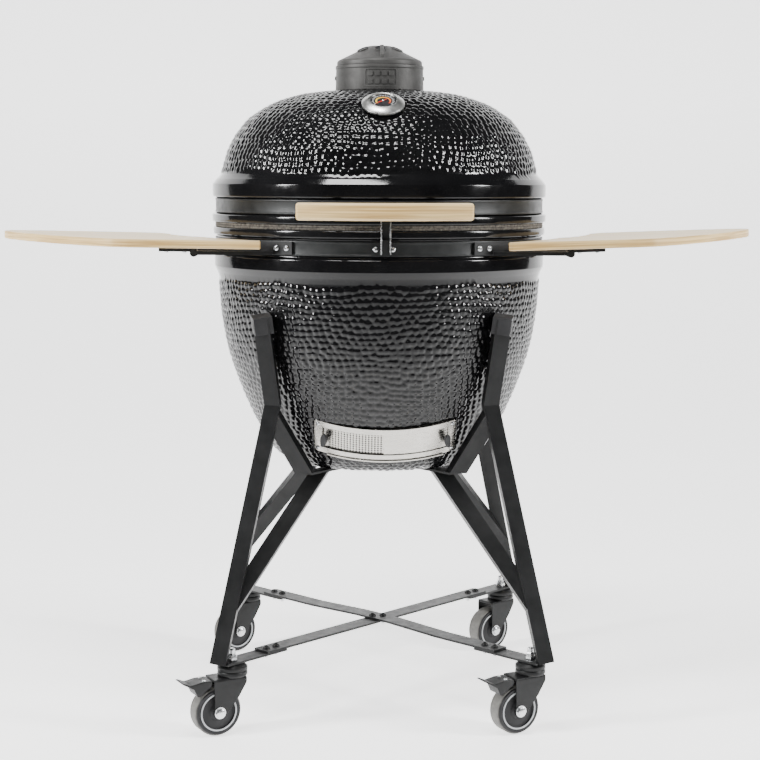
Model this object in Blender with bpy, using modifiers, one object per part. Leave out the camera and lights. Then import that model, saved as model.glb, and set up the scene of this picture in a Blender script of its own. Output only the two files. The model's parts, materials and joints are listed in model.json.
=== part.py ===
"""Kamado ceramic grill on a wheeled stand, modelled as separate solids. Metres, +Z up, front towards -Y.

The origin is on the floor under the axis of the ceramic body. Every turned piece is a closed profile
with a Screw modifier about that axis, and every tube of the stand is a square-section curve.
"""

import math

import bmesh
import bpy
from mathutils import Matrix, Vector

GAP = 0.0003            # running gap between pieces that touch
STEPS = 40              # facets round a large turned piece

# Ceramic body: heights above the floor and radii from the body's axis
Z_BOWL_BASE = 0.4055
Z_BOWL_RIM = 0.8030
Z_LID_RIM = 0.8118
Z_DOME_TOP = 1.0284
R_RIM = 0.2800
R_LID_RIM = 0.2812
R_GROOVE = 0.2735       # where the steel bands sit
R_FLUE = 0.0450         # hole in the top of the dome
WALL_MOUTH_R = 0.2550   # inner radius at the mouth

# Steel bands and felt
BAND_R_IN = R_GROOVE + GAP
BAND_R_OUT = 0.2764
LID_BAND_Z = (0.8273, 0.8499)
BASE_BAND_Z = (0.7637, 0.7862)
FELT = 0.0041

# Lid hinge at the back
HINGE_Y = 0.3290
HINGE_Z = 0.7950
HINGE_PIN_R = 0.0048

# Handle
HANDLE_R_OUT = 0.3450
HANDLE_R_IN = 0.3210
HANDLE_Z = (0.8200, 0.8468)
HANDLE_HALF_ANGLE = math.radians(23.3)

# Thermometer on the front of the dome
GAUGE_POINT = Vector((0.0, -0.1985, 0.9940))
GAUGE_TILT = math.radians(32.0)     # its axis leans this much from vertical towards the front
GAUGE_R = 0.0340

# Vent on top
GUIDE_X = 0.0025
GUIDE_W = 0.0160
VENT_BASE_Z = 1.0290
VENT_JOINT_Z = 1.0700
VENT_TOP_Z = 1.1045
VENT_R = 0.0738

# Draft door: a curved plate whose axis leans forward with the wall of the bowl
DRAFT_CENTRE = Vector((0.0060, -0.0104, 0.5436))
DRAFT_TILT = math.radians(24.0)
DRAFT_R = 0.2070

# Side shelves
SHELF_THICK = 0.0135
SHELF_Z = 0.7880                    # top of the shelf at its inner end
SHELF_PIN_X = 0.2960
SHELF_PIN_Z = 0.7666
SHELF_TILT = {"left": math.radians(0.7), "right": math.radians(1.7)}
SHELF_REACH = {"left": (0.1900, 0.0010), "right": (0.1970, 0.0050)}    # inner corner, shift outwards
KNUCKLE_R = 0.0060
PIN_R = 0.0025

# Stand
TUBE = 0.0250
LEG_TOP = Vector((0.1912, 0.2150, 0.6640))
LEG_BEND = Vector((0.1745, 0.1900, 0.5230))
LEG_FOOT = Vector((0.2605, 0.2635, 0.1170))
CRADLE_END = Vector((0.1200, 0.1440, 0.3980))
BRACE_FOOT = Vector((0.2410, 0.2466, 0.2050))
BRACE_TOP = Vector((0.0930, 0.1120, 0.4120))
PAD = 0.0300
CROSS_Z = (0.4016, 0.4052)
STRAP_W = 0.0320
STRAP_T = 0.0035
STRAP_Z = 0.1135                    # underside of the end straps

# Casters
CASTER_AT = 0.2395                  # distance of the swivel axis from X = 0 and from Y = 0
TRAIL = 0.0300
WHEEL_R = 0.0395
WHEEL_W = 0.0300
PEDAL_PIVOT = Vector((-0.0450, 0.0, 0.0880))
CASTER_TURN = {"front": math.radians(27.0), "rear": math.radians(38.0)}

CORNERS = {
    "front_left": (-1, -1),
    "front_right": (1, -1),
    "rear_left": (-1, 1),
    "rear_right": (1, 1),
}

LID_PIECES = (
    "lid_dome", "lid_band", "lid_gasket", "hinge_upper", "handle_bar", "handle_bracket", "thermometer_case",
    "thermometer_needle", "vent_collar", "vent_cap",
)

PAINT = {
    "glaze": ((0.012, 0.012, 0.013), 0.12, 0.0),
    "firebrick": ((0.55, 0.42, 0.30), 0.85, 0.0),
    "band_steel": ((0.030, 0.032, 0.032), 0.38, 0.6),
    "felt": ((0.20, 0.18, 0.15), 0.95, 0.0),
    "bamboo": ((0.66, 0.45, 0.22), 0.45, 0.0),
    "stand_steel": ((0.020, 0.021, 0.022), 0.45, 0.3),
    "cast_iron": ((0.045, 0.047, 0.050), 0.55, 0.5),
    "stainless": ((0.62, 0.60, 0.56), 0.28, 1.0),
    "zinc": ((0.68, 0.70, 0.71), 0.30, 1.0),
    "plastic": ((0.030, 0.031, 0.032), 0.50, 0.0),
    "rubber": ((0.030, 0.030, 0.031), 0.60, 0.0),
    "needle_red": ((0.60, 0.03, 0.02), 0.40, 0.0),
}


def clear_scene():
    for old in list(bpy.data.objects):
        bpy.data.objects.remove(old, do_unlink=True)


def new_collection(name):
    collection = bpy.data.collections.new(name)
    bpy.context.scene.collection.children.link(collection)
    return collection


def material(name):
    found = bpy.data.materials.get(name)
    if found:
        return found
    color, roughness, metallic = PAINT[name]
    made = bpy.data.materials.new(name)
    made.use_nodes = True
    shader = made.node_tree.nodes["Principled BSDF"]
    shader.inputs["Base Color"].default_value = (*color, 1.0)
    shader.inputs["Roughness"].default_value = roughness
    shader.inputs["Metallic"].default_value = metallic
    return made


clear_scene()
GRILL = new_collection("kamado_grill")
CUTTERS = new_collection("cutters")


def place(obj, name, paint=None):
    """Puts a finished object in the model, or in the cutters when it has no paint."""
    obj.name = name
    for collection in list(obj.users_collection):
        collection.objects.unlink(obj)
    if paint:
        GRILL.objects.link(obj)
        obj.data.materials.clear()
        obj.data.materials.append(material(paint))
    else:
        CUTTERS.objects.link(obj)
        obj.hide_render = True
        obj.display_type = "WIRE"
    return obj


def mesh_object(name, mesh, paint=None):
    return place(bpy.data.objects.new(name, mesh), name, paint)


def box(name, low, high, paint=None):
    """An upright box between two corners, with its origin at the world's origin."""
    work = bmesh.new()
    bmesh.ops.create_cube(work, size=1.0)
    low, high = Vector(low), Vector(high)
    size = high - low
    centre = (high + low) / 2
    bmesh.ops.scale(work, vec=size, verts=work.verts)
    bmesh.ops.translate(work, vec=centre, verts=work.verts)
    mesh = bpy.data.meshes.new(name)
    work.to_mesh(mesh)
    work.free()
    return mesh_object(name, mesh, paint)


def rod(name, start, end, radius, paint=None, sides=16):
    """A cylinder from one point to another."""
    start, end = Vector(start), Vector(end)
    work = bmesh.new()
    bmesh.ops.create_cone(
        work, cap_ends=True, segments=sides, radius1=radius, radius2=radius, depth=(end - start).length
    )
    turn = (end - start).to_track_quat("Z", "Y").to_matrix().to_4x4()
    bmesh.ops.transform(work, matrix=Matrix.Translation((start + end) / 2) @ turn, verts=work.verts)
    mesh = bpy.data.meshes.new(name)
    work.to_mesh(mesh)
    work.free()
    return mesh_object(name, mesh, paint)


def turned(name, profile, paint=None, steps=STEPS, closed=True):
    """A turned solid about local Z. The profile of (radius, height) runs down its outer side first.

    A closed profile is a ring; an open one starts and ends on the axis."""
    mesh = bpy.data.meshes.new(name)
    points = [(radius, 0.0, height) for radius, height in profile]
    edges = [(index, index + 1) for index in range(len(points) - 1)]
    if closed:
        edges.append((len(points) - 1, 0))
    mesh.from_pydata(points, edges, [])
    obj = mesh_object(name, mesh, paint)
    screw = obj.modifiers.new("Turn", "SCREW")
    screw.steps = steps
    screw.render_steps = steps
    screw.use_merge_vertices = True
    screw.merge_threshold = 0.00005
    screw.use_smooth_shade = True
    return obj


def as_mesh(obj, name, paint=None):
    """Replaces a curve by its evaluated mesh, with its caps welded."""
    bpy.context.view_layer.update()
    graph = bpy.context.evaluated_depsgraph_get()
    mesh = bpy.data.meshes.new_from_object(obj.evaluated_get(graph))
    work = bmesh.new()
    work.from_mesh(mesh)
    bmesh.ops.remove_doubles(work, verts=work.verts, dist=0.00002)
    work.to_mesh(mesh)
    work.free()
    world = obj.matrix_world.copy()
    bpy.data.objects.remove(obj, do_unlink=True)
    made = mesh_object(name, mesh, paint)
    made.matrix_world = world
    return made


def square_tube(name, points, width, paint=None):
    """A square tube along straight runs, as a four-sided bevelled curve."""
    data = bpy.data.curves.new(name, "CURVE")
    data.dimensions = "3D"
    data.bevel_depth = width / math.sqrt(2.0)
    data.bevel_resolution = 0
    data.use_fill_caps = True
    spline = data.splines.new("POLY")
    spline.points.add(len(points) - 1)
    for point, at in zip(spline.points, points):
        point.co = (*at, 1.0)
    curve = bpy.data.objects.new(name, data)
    CUTTERS.objects.link(curve)
    return as_mesh(curve, name, paint)


def flat_plate(name, outlines, thickness, paint=None):
    """A plate in the XY plane with its outer outline first and its holes after it, centred on Z = 0."""
    data = bpy.data.curves.new(name, "CURVE")
    data.dimensions = "2D"
    data.fill_mode = "BOTH"
    data.extrude = thickness / 2
    for outline in outlines:
        spline = data.splines.new("POLY")
        spline.points.add(len(outline) - 1)
        spline.use_cyclic_u = True
        for point, (x, y) in zip(spline.points, outline):
            point.co = (x, y, 0.0, 1.0)
    curve = bpy.data.objects.new(name, data)
    CUTTERS.objects.link(curve)
    return as_mesh(curve, name, paint)


def moved(obj, matrix):
    """Moves a mesh inside its object, so that the object's origin stays where it is."""
    obj.data.transform(matrix)
    return obj


def lifted(obj, z_low, z_high):
    return moved(obj, Matrix.Translation((0.0, 0.0, (z_low + z_high) / 2)))


def combine(target, other, operation):
    modifier = target.modifiers.new(operation.title(), "BOOLEAN")
    modifier.operation = operation
    modifier.solver = "EXACT"
    modifier.object = other
    return target


def cut(target, *cutters):
    for cutter in cutters:
        combine(target, cutter, "DIFFERENCE")
    return target


def join(target, *others):
    for other in others:
        combine(target, other, "UNION")
    return target


def sleeve(name, radius, z_low, z_high):
    """A thick ring that clears everything within a radius of the body's axis."""
    return turned(name, [(radius, z_high), (radius, z_low), (0.2000, z_low), (0.2000, z_high)])


def arc(radius, start, end, count, centre=(0.0, 0.0)):
    """Points on a circle from one angle to another, in radians from +X."""
    found = []
    for index in range(count):
        angle = start + (end - start) * index / (count - 1)
        found.append((centre[0] + radius * math.cos(angle), centre[1] + radius * math.sin(angle)))
    return found


def circle(radius, count, centre=(0.0, 0.0)):
    return arc(radius, 0.0, 2 * math.pi * (count - 1) / count, count, centre)


def sector(r_in, r_out, start, end, count):
    """The outline of a piece of a ring."""
    return arc(r_out, start, end, count) + arc(r_in, end, start, count)


def ring_plate(name, r_in, r_out, z_range, start, end, paint=None, count=9):
    """A curved plate about the body's axis, between two angles from +X."""
    plate = flat_plate(name, [sector(r_in, r_out, start, end, count)], z_range[1] - z_range[0], paint)
    return lifted(plate, *z_range)


# ---------------------------------------------------------------- ceramic body

BOWL_RIM_LINE = [
    (R_RIM, Z_BOWL_RIM), (R_RIM, 0.7930), (R_GROOVE, 0.7895), (R_GROOVE, 0.7605),
    (0.2782, 0.7565), (0.2782, 0.7390),
]
BOWL_SWELL = [
    (0.2725, 0.7250), (0.2664, 0.6620), (0.2569, 0.6056), (0.2430, 0.5592), (0.2239, 0.5105),
    (0.2038, 0.4685), (0.1801, 0.4310), (0.1545, 0.4125), (0.1300, Z_BOWL_BASE),
]
BOWL_INSIDE = [
    (0.0, 0.4310), (0.1250, 0.4345), (0.1750, 0.4750), (0.2160, 0.5600), (0.2400, 0.6620),
    (WALL_MOUTH_R, 0.7600), (WALL_MOUTH_R, Z_BOWL_RIM),
]
DOME_SWELL = [
    (0.0450, Z_DOME_TOP), (0.0841, 1.0268), (0.1345, 1.0203), (0.1799, 1.0056), (0.2177, 0.9822),
    (0.2423, 0.9523), (0.2577, 0.9180), (0.2665, 0.8895),
]
DOME_RIM_LINE = [
    (0.2745, 0.8820), (0.2811, 0.8740), (0.2811, 0.8550), (R_GROOVE, 0.8515), (R_GROOVE, 0.8262),
    (R_LID_RIM, 0.8225), (R_LID_RIM, Z_LID_RIM),
]
DOME_INSIDE = [
    (0.2565, Z_LID_RIM), (0.2565, 0.8600), (0.2360, 0.9200), (0.2080, 0.9620), (0.1500, 0.9900),
    (R_FLUE, 1.0040),
]


def draft_frame_matrix():
    """Local axes of the draft door: its own Z leans forward, and the origin is its centre of curvature."""
    return Matrix.Translation(DRAFT_CENTRE) @ Matrix.Rotation(DRAFT_TILT, 4, "X")


def draft_plate(name, r_in, r_out, z_range, half_angle, paint=None, middle=0.0, count=11):
    """A curved plate round the draft door's own leaning axis."""
    front = -math.pi / 2 + middle
    plate = flat_plate(
        name,
        [sector(r_in, r_out, front - half_angle, front + half_angle, count)],
        z_range[1] - z_range[0],
        paint,
    )
    return lifted(plate, *z_range)


def build_bowl():
    profile = BOWL_INSIDE + BOWL_RIM_LINE + BOWL_SWELL + [(0.0, Z_BOWL_BASE)]
    bowl = turned("bowl", profile, "glaze", closed=False)
    opening = draft_plate("draft_hole", 0.150, 0.240, (-0.0175, 0.0215), math.radians(24.0), count=5)
    opening.matrix_world = draft_frame_matrix()
    seat = draft_plate("draft_seat", DRAFT_R - 0.0030, 0.260, (-0.0300, 0.0340), math.radians(33.5), count=9)
    seat.matrix_world = draft_frame_matrix()
    return cut(bowl, opening, seat)


def build_lid_dome():
    dome = turned("lid_dome", DOME_SWELL + DOME_RIM_LINE + DOME_INSIDE, "glaze")
    axis = gauge_axis()
    hole = rod("gauge_hole", GAUGE_POINT - axis * 0.06, GAUGE_POINT + axis * 0.03, 0.0050, sides=12)
    return cut(dome, hole)


def build_bands():
    for name, (low, high) in (("lid_band", LID_BAND_Z), ("base_band", BASE_BAND_Z)):
        turned(
            name,
            [(BAND_R_OUT, high), (BAND_R_OUT, low), (BAND_R_IN, low), (BAND_R_IN, high)],
            "band_steel",
        )


def build_felt():
    low = Z_BOWL_RIM + GAP
    high = Z_LID_RIM - GAP
    for name, z_low, z_high in (("base_gasket", low, low + FELT), ("lid_gasket", high - FELT + GAP, high)):
        turned(
            name,
            [(0.2785, z_high), (0.2785, z_low), (0.2590, z_low), (0.2590, z_high)],
            "felt",
        )


def build_firebox():
    loop = [
        (0.2160, 0.5850), (0.1300, 0.4460), (0.1240, 0.4380), (0.1000, 0.4380), (0.1000, 0.4700),
        (0.1250, 0.4700), (0.1960, 0.5850),
    ]
    fire_box = turned("fire_box", loop, "firebrick", steps=32)
    door = box("firebox_door", (-0.060, -0.200, 0.4300), (0.060, -0.080, 0.4690))
    cut(fire_box, door)
    turned(
        "fire_ring",
        [
            (0.2360, 0.7680), (0.2330, 0.7000), (0.2180, 0.5853), (0.1980, 0.5853), (0.2130, 0.7000),
            (0.2170, 0.7680),
        ],
        "firebrick",
        steps=32,
    )


def grate(name, radius, rim, bar, count, z_range, paint):
    """A round grate: a ring joined by parallel bars and one cross bar."""
    holes = []
    inner = radius - rim
    pitch = 2 * inner / count
    for index in range(count):
        left = -inner + index * pitch + bar / 2
        right = left + pitch - bar
        for side in (-1, 1):
            near = bar / 2
            far_left = math.sqrt(max(inner**2 - left**2, 0.0))
            far_right = math.sqrt(max(inner**2 - right**2, 0.0))
            if min(far_left, far_right) < near + bar:
                continue
            holes.append([
                (left, side * near), (right, side * near), (right, side * far_right), (left, side * far_left),
            ])
    return lifted(flat_plate(name, [circle(radius, 32)] + holes, z_range[1] - z_range[0], paint), *z_range)


# ---------------------------------------------------------------- hinge, handle, gauge and vent

def build_hinge():
    ear = 0.0050
    back = BAND_R_OUT + GAP
    plate_lower = ring_plate(
        "hinge_lower", back, back + 0.004, BASE_BAND_Z, math.radians(77), math.radians(103), "band_steel", 5
    )
    ear_z = (BASE_BAND_Z[0], HINGE_Z + 0.012)
    for index, x in enumerate((-0.050, 0.050)):
        low_z, high_z = ear_z
        arm = box(f"lower_ear_{index}", (x - ear, back - 0.006, low_z), (x + ear, HANDLE_R_OUT, high_z))
        join(plate_lower, arm)
    behind_band = sleeve("band_room", back, 0.70, 0.7870)
    above_band = box("above_band", (-0.1, 0.2, 0.7868), (0.1, R_LID_RIM + 0.0025, 0.85))
    bore = rod("pin_bore", (-0.08, HINGE_Y, HINGE_Z), (0.08, HINGE_Y, HINGE_Z), HINGE_PIN_R + GAP)
    cut(plate_lower, behind_band, above_band, bore)

    plate_upper = ring_plate(
        "hinge_upper", back, back + 0.004, LID_BAND_Z, math.radians(79), math.radians(101), "band_steel", 5
    )
    for index, x in enumerate((-0.0390, 0.0390)):
        outline = [
            (back - 0.003, LID_BAND_Z[1]), (back - 0.003, LID_BAND_Z[0]), (R_LID_RIM + 0.003, LID_BAND_Z[0]),
            (HINGE_Y - 0.013, HINGE_Z - 0.004), (HINGE_Y - 0.006, HINGE_Z - 0.012),
            (HINGE_Y + 0.006, HINGE_Z - 0.012), (HINGE_Y + 0.013, HINGE_Z), (HINGE_Y + 0.006, LID_BAND_Z[1]),
        ]
        arm = flat_plate(f"upper_arm_{index}", [outline], 2 * ear)
        upright = Matrix.Rotation(math.pi / 2, 4, "Z") @ Matrix.Rotation(math.pi / 2, 4, "X")
        moved(arm, Matrix.Translation((x, 0, 0)) @ upright)
        join(plate_upper, arm)
    upper_room = sleeve("upper_room", back, 0.8262, 0.90)
    lip_room = sleeve("lip_room", R_LID_RIM + 0.002, 0.70, 0.8262)
    cut(plate_upper, upper_room, lip_room, bore)
    pin = rod("hinge_pin", (-0.0600, HINGE_Y, HINGE_Z), (0.0600, HINGE_Y, HINGE_Z), HINGE_PIN_R, "zinc")
    for side in (-1, 1):
        start = (side * (0.0550 + GAP), HINGE_Y, HINGE_Z)
        join(pin, rod(f"pin_head_{side}", start, (side * 0.0600, HINGE_Y, HINGE_Z), HINGE_PIN_R * 1.8))


def build_handle():
    front = -math.pi / 2
    ring_plate(
        "handle_bar", HANDLE_R_IN, HANDLE_R_OUT, HANDLE_Z,
        front - HANDLE_HALF_ANGLE, front + HANDLE_HALF_ANGLE, "bamboo", 13,
    )
    bracket = ring_plate(
        "handle_bracket", BAND_R_OUT + GAP, BAND_R_OUT + 0.0033, (0.8295, 0.8480),
        front - math.radians(20), front + math.radians(20), "band_steel", 9,
    )
    for side in (-1, 1):
        angle = front + side * math.radians(16)
        direction = Vector((math.cos(angle), math.sin(angle), 0.0))
        middle = Vector((0.0, 0.0, 0.8360))
        stand_off = rod(
            f"handle_post_{side}", middle + direction * (BAND_R_OUT + 0.0020),
            middle + direction * (HANDLE_R_IN - GAP - 0.0006), 0.0070, sides=12,
        )
        join(bracket, stand_off)


def gauge_axis():
    """The direction in which the thermometer faces: up, leaning to the front."""
    return Vector((0.0, -math.sin(GAUGE_TILT), math.cos(GAUGE_TILT)))


def gauge_matrix():
    return Matrix.Translation(GAUGE_POINT) @ Matrix.Rotation(GAUGE_TILT, 4, "X")


def build_gauge():
    case = turned(
        "thermometer_case",
        [
            (0.0, 0.0105), (0.0205, 0.0105), (0.0215, 0.0130), (0.0250, 0.0130), (GAUGE_R, 0.0060),
            (GAUGE_R - 0.0010, 0.0034), (0.0030, 0.0034), (0.0030, -0.0900), (0.0, -0.0920),
        ],
        "stainless",
        steps=28,
        closed=False,
    )
    case.matrix_world = gauge_matrix()
    outline = [
        (-0.0010, -0.0080), (0.0010, -0.0080), (0.0013, 0.0), (0.0003, 0.0170), (-0.0003, 0.0170),
        (-0.0013, 0.0),
    ]
    needle = flat_plate("thermometer_needle", [outline], 0.0006, "needle_red")
    needle.matrix_world = gauge_matrix() @ Matrix.Translation((0, 0, 0.0116)) @ Matrix.Rotation(0.9, 4, "Z")


def build_vent():
    collar = turned(
        "vent_collar",
        [
            (VENT_R, VENT_BASE_Z), (0.0440, VENT_BASE_Z), (0.0440, 0.9950), (0.0400, 0.9950),
            (0.0400, 1.0340), (0.0676, 1.0340), (0.0670, VENT_JOINT_Z), (VENT_R, VENT_JOINT_Z),
        ],
        "cast_iron",
        steps=32,
    )
    panel = box("vent_panel", (-0.0250, -0.0900, 1.0345), (0.0250, -VENT_R * 0.985, 1.0610))
    cut(collar, panel)
    low = VENT_JOINT_Z + GAP
    cap = turned(
        "vent_cap",
        [
            (0.0, VENT_TOP_Z - 0.0010), (0.0200, VENT_TOP_Z - 0.0010), (0.0700, 1.0785), (VENT_R, 1.0755),
            (VENT_R, low), (0.0660, low), (0.0190, 1.0985), (0.0, 1.0985),
        ],
        "cast_iron",
        steps=32,
        closed=False,
    )
    for index in range(6):
        angle = math.radians(60 * index + 30)
        at = Vector((0.0340 * math.cos(angle), 0.0340 * math.sin(angle), 0.0))
        low_end, high_end = at + Vector((0, 0, 1.06)), at + Vector((0, 0, 1.12))
        cut(cap, rod(f"vent_hole_{index}", low_end, high_end, 0.0085, sides=8))
    fin = box("vent_fin", (-0.0010, -0.0620, 1.0790), (0.0070, -0.0100, VENT_TOP_Z))
    join(cap, fin)


def build_guide_post():
    """An upright channel on a plate clamped to the base band, just in front of the rims."""
    front = -math.pi / 2
    plate = ring_plate(
        "guide_post", BAND_R_OUT + GAP, BAND_R_OUT + 0.0043, (0.7650, 0.7850),
        front - math.radians(4.0), front + math.radians(4.8), "band_steel", 5,
    )
    left, right = GUIDE_X - GUIDE_W / 2, GUIDE_X + GUIDE_W / 2
    wall = 0.0020
    arm = box("guide_arm", (left + wall, -0.2955, 0.7665), (right - wall, -0.2790, 0.7835))
    channel = box("guide_channel", (left, -0.3020, 0.7665), (right, -0.2935, 0.8330))
    slot = box("guide_slot", (left + wall, -0.3100, 0.7900), (right - wall, -0.2960, 0.8400))
    join(plate, arm, channel)
    return cut(plate, slot)


# ---------------------------------------------------------------- draft door

def build_draft_door():
    placed = draft_frame_matrix()
    frame = draft_plate(
        "draft_frame", DRAFT_R, DRAFT_R + 0.0060, (-0.0270, 0.0310), math.radians(32.5), "stainless"
    )
    window = draft_plate(
        "draft_window", DRAFT_R - 0.010, DRAFT_R + 0.020, (-0.0165, 0.0205), math.radians(28.5)
    )
    track = draft_plate(
        "draft_track", DRAFT_R + 0.0012, DRAFT_R + 0.0048, (-0.0205, 0.0245), math.radians(30.5)
    )
    for piece in (frame, window, track):
        piece.matrix_world = placed
    cut(frame, window, track)
    leaves = (
        ("draft_screen", DRAFT_R + 0.0015, -14.0, "stainless", -27.0),
        ("draft_door", DRAFT_R + 0.0031, 14.0, "stainless", 27.0),
    )
    for name, radius, middle, paint, grip_at in leaves:
        leaf = draft_plate(
            name, radius, radius + 0.0012, (-0.0200, 0.0240), math.radians(14.8), paint, math.radians(middle), 7
        )
        front = -math.pi / 2 + math.radians(grip_at)
        at = Vector((math.cos(front), math.sin(front), 0.0))
        stalk = rod(f"{name}_stalk", at * (radius + 0.0006), at * (DRAFT_R + 0.0100), 0.0035, sides=10)
        grip = rod(f"{name}_grip", at * (DRAFT_R + 0.0075), at * (DRAFT_R + 0.0190), 0.0070, sides=10)
        for piece in (leaf, stalk, grip):
            piece.matrix_world = placed
        join(leaf, stalk, grip)


# ---------------------------------------------------------------- shelves

def shelf_outline(inner_corner, shift):
    """A shelf seen from above, as distance out from the middle plane and Y."""
    inner = arc(0.3060, math.radians(-21), math.radians(-51.5), 7)
    line = inner + [
        (inner_corner, -0.2440), (0.3950, -0.2440), (0.4260, -0.2360), (0.4740, -0.1940),
        (0.5270, -0.1360), (0.5850, -0.0560), (0.6330, 0.0280), (0.6450, 0.0620), (0.6400, 0.0860),
        (0.6200, 0.0930), (0.5200, 0.0900), (0.4300, 0.0800), (0.3860, 0.0680), (0.3620, 0.0420),
        (0.3450, -0.0200), (0.3260, -0.0640), (0.3060, -0.0940),
    ]
    return [(x + shift, y) for x, y in line]


def build_shelf(side, sign):
    bracket_rows = (-0.2120, -0.1180)
    rise = SHELF_Z - SHELF_PIN_Z
    underside = rise - SHELF_THICK
    placed = Matrix.Translation((sign * SHELF_PIN_X, 0.0, SHELF_PIN_Z)) @ Matrix.Rotation(
        -sign * SHELF_TILT[side], 4, "Y"
    )
    outline = [(sign * (x - SHELF_PIN_X), y) for x, y in shelf_outline(*SHELF_REACH[side])]
    shelf = lifted(flat_plate(f"shelf_{side}", [outline], SHELF_THICK, "bamboo"), underside, rise)
    shelf.matrix_world = placed
    for row, y in enumerate(bracket_rows):
        near, far = sorted((-sign * 0.0060, sign * 0.0550))
        leaf = box(f"shelf_leaf_{side}_{row}", (near, y - 0.0085, 0.0010), (far, y + 0.0085, underside + 0.001))
        barrel = rod(f"shelf_barrel_{side}_{row}", (0, y - 0.0085, 0), (0, y + 0.0085, 0), KNUCKLE_R, sides=8)
        pin_room = rod(f"shelf_pin_room_{side}_{row}", (0, y - 0.02, 0), (0, y + 0.02, 0), PIN_R + GAP, sides=8)
        for piece in (leaf, barrel, pin_room):
            piece.matrix_world = placed
        join(shelf, leaf, barrel)
        cut(shelf, pin_room)
    build_shelf_bracket(side, sign, bracket_rows)


def build_shelf_bracket(side, sign, bracket_rows):
    """The fixed half of a shelf's hinge: a plate on the base band, with ears either side of each knuckle."""
    start, end = sorted((math.radians(-90 + sign * 30.5), math.radians(-90 + sign * 72)))
    bracket = ring_plate(
        f"shelf_bracket_{side}", BAND_R_OUT + GAP, BAND_R_OUT + 0.0043, (0.7650, 0.7850), start, end,
        "stand_steel", 9,
    )
    thick = 0.0028
    for row, y in enumerate(bracket_rows):
        root = math.sqrt(BAND_R_OUT**2 - y**2) - 0.004
        inner, outer = sorted((sign * root, sign * SHELF_PIN_X))
        for ear, offset in enumerate((-0.0118, 0.0118)):
            name = f"shelf_ear_{side}_{row}_{ear}"
            low, high = y + offset - thick, y + offset + thick
            arm = box(name, (inner, low, SHELF_PIN_Z - 0.0030), (outer, high, SHELF_PIN_Z + 0.0030))
            eye_start = (sign * SHELF_PIN_X, low, SHELF_PIN_Z)
            eye = rod(f"{name}_eye", eye_start, (sign * SHELF_PIN_X, high, SHELF_PIN_Z), KNUCKLE_R, sides=12)
            join(bracket, arm, eye)
        pin_start = (sign * SHELF_PIN_X, y - 0.0130, SHELF_PIN_Z)
        pin_end = (sign * SHELF_PIN_X, y + 0.0130, SHELF_PIN_Z)
        pin = rod(f"shelf_pin_{side}_{row}", pin_start, pin_end, PIN_R, sides=8)
        join(bracket, pin)
    cut(bracket, sleeve(f"bracket_room_{side}", BAND_R_OUT + GAP, 0.74, 0.80))


# ---------------------------------------------------------------- stand

def at_corner(point, corner):
    sx, sy = CORNERS[corner]
    return Vector((sx * point.x, sy * point.y, point.z))


def build_stand():
    bowl_room = turned(
        "bowl_room",
        [(r + 0.0008, z) for r, z in [(0.2735, 0.7270)] + BOWL_SWELL]
        + [(0.0, Z_BOWL_BASE - 0.001), (0.0, 0.7270)],
        closed=True,
    )
    above_cross = box("above_cross", (-0.3, -0.3, 0.36), (0.3, 0.3, CROSS_Z[1] + GAP))
    under_cross = box("under_cross", (-0.3, -0.3, CROSS_Z[0] - GAP), (0.3, 0.3, 0.50))
    below_strap = box("below_strap", (-0.4, -0.4, 0.08), (0.4, 0.4, STRAP_Z))
    for corner, (sx, sy) in CORNERS.items():
        build_leg(corner, sx, sy, bowl_room, above_cross, under_cross, below_strap)
    build_cross()
    build_straps()


def build_leg(corner, sx, sy, bowl_room, above_cross, under_cross, below_strap):
    foot, bend, top = (at_corner(point, corner) for point in (LEG_FOOT, LEG_BEND, LEG_TOP))
    leg = square_tube(f"leg_{corner}", [foot, bend, top], TUBE, "stand_steel")
    start = bend + (foot - bend) * 0.035
    cradle = square_tube(f"cradle_{corner}", [start, at_corner(CRADLE_END, corner)], TUBE * 0.998)
    cut(cradle, above_cross)
    strap = strap_box(f"end_strap_{corner}", sx, sy, 0.2330, 0.3620, STRAP_Z, STRAP_Z + STRAP_T)
    join(leg, cradle, strap)
    stem_room = rod(f"stem_room_{corner}", (*caster_xy(corner), 0.10), (*caster_xy(corner), 0.13), 0.0053)
    cut(leg, stem_room, below_strap)

    leg_room = square_tube(f"leg_room_{corner}", [foot, bend, top], TUBE + 2 * GAP)
    brace_foot = at_corner(BRACE_FOOT, corner)
    brace = square_tube(f"brace_{corner}", [brace_foot, at_corner(BRACE_TOP, corner)], TUBE, "stand_steel")
    cut(brace, leg_room, under_cross)

    along = (top - bend).normalized()
    pad = square_tube(f"leg_pad_{corner}", [top - along * 0.0240, top + along * 0.0035], PAD, "plastic")
    cut(pad, leg_room, bowl_room)


def strap_box(name, sx, sy, near, far, z_low, z_high, paint=None):
    """A flat bar on a diagonal of the stand, between two distances from the middle."""
    bar = box(name, (near, -STRAP_W / 2, z_low), (far, STRAP_W / 2, z_high), paint)
    return moved(bar, Matrix.Rotation(math.atan2(sy, sx), 4, "Z"))


def build_cross():
    """Two crossed flat bars under the bowl, joined where they cross."""
    angle = math.atan2(CRADLE_END.y, CRADLE_END.x)
    half = math.hypot(CRADLE_END.x, CRADLE_END.y) + 0.004
    bars = []
    for name, paint, turn in (("bowl_cross", "stand_steel", angle), ("cross_bar", None, -angle)):
        bar = box(name, (-half, -TUBE / 2, CROSS_Z[0]), (half, TUBE / 2, CROSS_Z[1]), paint)
        bars.append(moved(bar, Matrix.Rotation(turn, 4, "Z")))
    join(*bars)


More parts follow.
